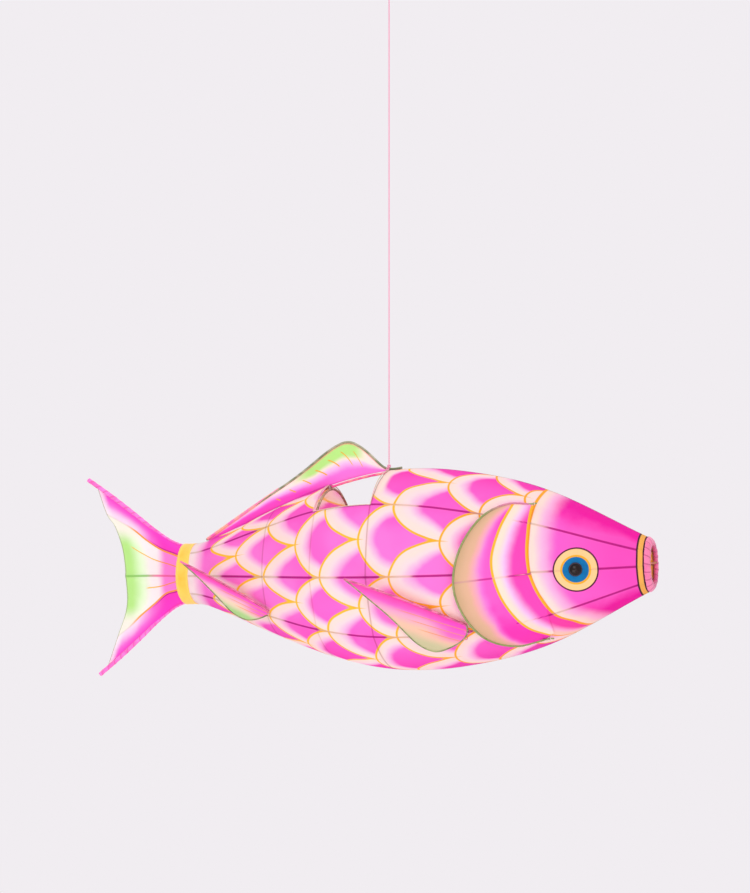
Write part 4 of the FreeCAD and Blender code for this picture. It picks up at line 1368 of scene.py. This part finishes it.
def gill_covers():
    """A sheet that leaves the head's cloth at the gill ring, held open by its hoop. It bends where it joins
    the head's cloth.
    """
    material = gill_material()
    rows, columns = 89, 49
    bend_x = GILL_X + 2 * MM
    for side_name, side in SIDES.items():
        points, fields = [], {}
        for share in evenly(0.0, 1.0, rows):
            hoop_x, hoop_z, hoop_lift = hoop_line(share)
            front_x, front_z = cover_front_line(share)
            for across in evenly(0.0, 1.0, columns):
                x = front_x + (hoop_x - front_x) * across
                z = front_z + (hoop_z - front_z) * across
                behind = max(bend_x - x, 0.0) / max(bend_x - hoop_x, MM)
                flat = cloth_side(x, z) + (0.75 + 0.95 * ease(across, 0.0, 0.06)) * MM
                lifted = side_of_body(x, z) + COVER_FRONT + (hoop_lift - COVER_FRONT) * across
                stick = below_the_stick(x, z)
                ridge = math.exp(-((stick / (3.1 * MM)) ** 2)) * ease(across, 0.0, 0.04)
                free = max(ease(min(behind, 1.0), 0.0, 0.34), ridge)
                points.append((x, side * (flat + (lifted - flat) * free), z))
                rise = rise_angle(x, z)
                nearest = min(abs(math.radians(rise - rib_angle(r, x))) for r in ("upper", "middle", "lower"))
                seen_from = GILL_X + (0.0 if abs(rise) < 12 else -22 * MM)
                note(
                    fields, collar=x - collar_edge(rise), head=x - head_edge(rise), across=across, angle=rise,
                    strut=stick if x < GILL_X else 1.0, rib=nearest * half_width(x) if x > seen_from else 1.0,
                    height=z, end=min(abs(2.1 * share - 1.0), 1.0) ** 3,
                )
        faces = grid_faces(rows, columns, turned=side == 1)
        sheet = make(
            f"gill_cover_cloth_{side_name}", points, faces, None, material,
            "painted_fin_cloth", [f"gill_cover_{side_name}"], fields,
        )
        thicken(sheet, CLOTH)
        front = TO_ROW @ Vector((GILL_X + 4 * MM, 0, 0))
        back = TO_ROW @ Vector((GILL_X - 32 * MM, 0, 0))
        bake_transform(sheet, "fish", f"{side_name}_gill_cover", start=front, end=back)


def gill_hems():
    """The covers' edges, turned over the hoops and stitched, as hems just outside the cloth."""
    count, sides = 120, 10

    def radius(i, k):
        return (1.25 + 0.1 * math.sin(i * 1.9 + k)) * MM

    shares = [i / (count - 1) for i in range(count) for _ in range(sides)]
    for side_name, side in SIDES.items():
        line = []
        for x, z, lift in (hoop_line(share) for share in evenly(0.005, 0.995, count)):
            line.append((x, side * (side_of_body(x, z) + lift + 0.4 * MM), z))
        paint = Paint(f"gill_hem_{side_name}", roughness=0.7)
        patches = paint.noise(220.0, 3.0)
        shade = paint.mix(patches, "66763f", "93995f")
        rosy = paint.mix(patches, "a8527c", "c98a94")
        shade = paint.mix(1.0 - paint.step(paint.attribute("share"), 0.12, 0.24), shade, rosy)
        paint.bump(paint.noise(1500.0), 0.1 * MM, 0.5)
        make(f"gill_hem_{side_name}", *tube(line, radius, sides=sides), f"{side_name}_gill_cover",
             paint.colour(shade), "olive_cane", fields={"share": shares})


# ---------------------------------------------------------------- hatch hem and eyes


def hatch_hems():
    """The hatch's edges: cloth turned over and stitched down, one loop each side of the top rib."""
    material = mottled_material(
        "hatch_hem", 45.0, 0.4, 0.6, "c4ab92", "d898a8", 900.0, 0.12 * MM, 0.5, roughness=0.7, sheen=0.2
    )

    def radius(i, k):
        return (0.62 + 0.08 * math.sin(i * 2.3 + k)) * MM

    top = 90 - 2.2  # degrees, just beside the top rib
    line = [(x, rib_angle("upper", x)) for x in evenly(GIRTH_X, HATCH_REAR, 30)]
    line += [(HATCH_REAR, a) for a in evenly(rib_angle("upper", HATCH_REAR), top, 22)[1:]]
    front = [(GIRTH_X, a) for a in evenly(top, rib_angle("upper", GIRTH_X), 22)]
    for side_name, side in SIDES.items():
        shapes = []
        for part in (line, front):
            spots = [on_body(x, a, 0.3 * MM) for x, a in part]
            shapes.append(tube([(p.x, side * p.y, p.z) for p in spots], radius, sides=8))
        make(f"hatch_hem_{side_name}", *joined(shapes), "fish", material, "painted_skin")


def pupils():
    """Glossy dark domes with a low rim."""
    paint = Paint("glossy_pupil", roughness=0.16, specular=0.22)
    rim = paint.attribute("rim")
    made = paint.mix(paint.step(rim, 0.62, 0.7), "180a0a", "0a0608")
    material = paint.colour(paint.mix(paint.line(rim - 0.9, 0.05, 0.03), made, "3a3040"))
    radius, height, count = 8.4 * MM, 4.2 * MM, 40
    profile = (
        (0.0, 1.0), (0.12, 0.985), (0.26, 0.94), (0.4, 0.86), (0.54, 0.73), (0.68, 0.55), (0.8, 0.36),
        (0.9, 0.2), (0.96, 0.12), (1.0, 0.06), (1.0, 0.0),
    )
    for side_name, side in SIDES.items():
        ahead = on_body(EYE[0] + 5 * MM, 0) - on_body(EYE[0] - 5 * MM, 0)
        along = Vector((ahead.x, side * ahead.y, 0)).normalized()
        out = Vector((-side * along.y, side * along.x, 0))
        base = Vector((0.2505, side * on_body(0.2505, 0).y, -0.0018)) + out * 0.5 * MM
        verts, fields = [], {}
        for share, up in profile:
            for a in circle(count):
                spot = along * math.cos(a) + Vector((0, 0, 1)) * math.sin(a)
                verts.append(base + spot * radius * max(share, 0.004) + out * height * up)
                note(fields, rim=share)
        faces = grid_faces(len(profile), count, wrap_columns=True, turned=side == -1)
        ends = [tuple(range(count)), tuple(len(verts) - 1 - k for k in range(count))]
        faces += [end[::side] for end in ends]
        make(
            f"eye_dome_{side_name}", verts, faces, "fish", material, "pupil",
            [f"eye_pupil_{side_name}"], fields,
        )


paint_nodes()
frame_windings()
body_skin()
mouth_binding()
tail_band()
dorsal_fin()
tail_fin()
rolled_spars()
paired_fins()
gill_covers()
gill_hems()
hatch_hems()
pupils()

# ---------------------------------------------------------------- floor and light

FLOOR_Z = cad_box[0].z - 0.95
FLOOR_RADIUS = 3.4
BACKGROUND = colour("f1edf1")

floor_mesh = bpy.data.meshes.new("floor")
rim = [(FLOOR_RADIUS * math.cos(a), FLOOR_RADIUS * math.sin(a), FLOOR_Z) for a in circle(96)]
floor_mesh.from_pydata(rim, [], [tuple(range(len(rim)))])
floor_mesh.materials.append(Paint("pale_floor", roughness=0.9, specular=0.1).colour(colour("f4f0f4")))
into_scene("floor", floor_mesh)

world = bpy.data.worlds.new("studio")
world.use_nodes = True
world.node_tree.nodes["Background"].inputs["Color"].default_value = BACKGROUND
world.node_tree.nodes["Background"].inputs["Strength"].default_value = 1.0
bpy.context.scene.world = world


def softbox(name, place, size, power):
    """A square soft light that faces the fish."""
    light = bpy.data.lights.new(name, "AREA")
    light.shape = "SQUARE"
    light.size = size
    light.energy = power
    lamp = into_scene(name, light)
    lamp.location = GIRTH + Vector(place)
    lamp.rotation_mode = "QUATERNION"
    lamp.rotation_quaternion = (-Vector(place)).to_track_quat("-Z", "Y")


softbox("key_light", (0.6, -2.4, 1.6), 1.6, 24.0)
softbox("fill_light", (1.5, -2.1, -0.1), 1.1, 11.0)
softbox("top_light", (-0.1, 0.5, 2.1), 1.4, 18.0)
softbox("low_light", (0.2, -1.6, -0.75), 1.2, 10.0)
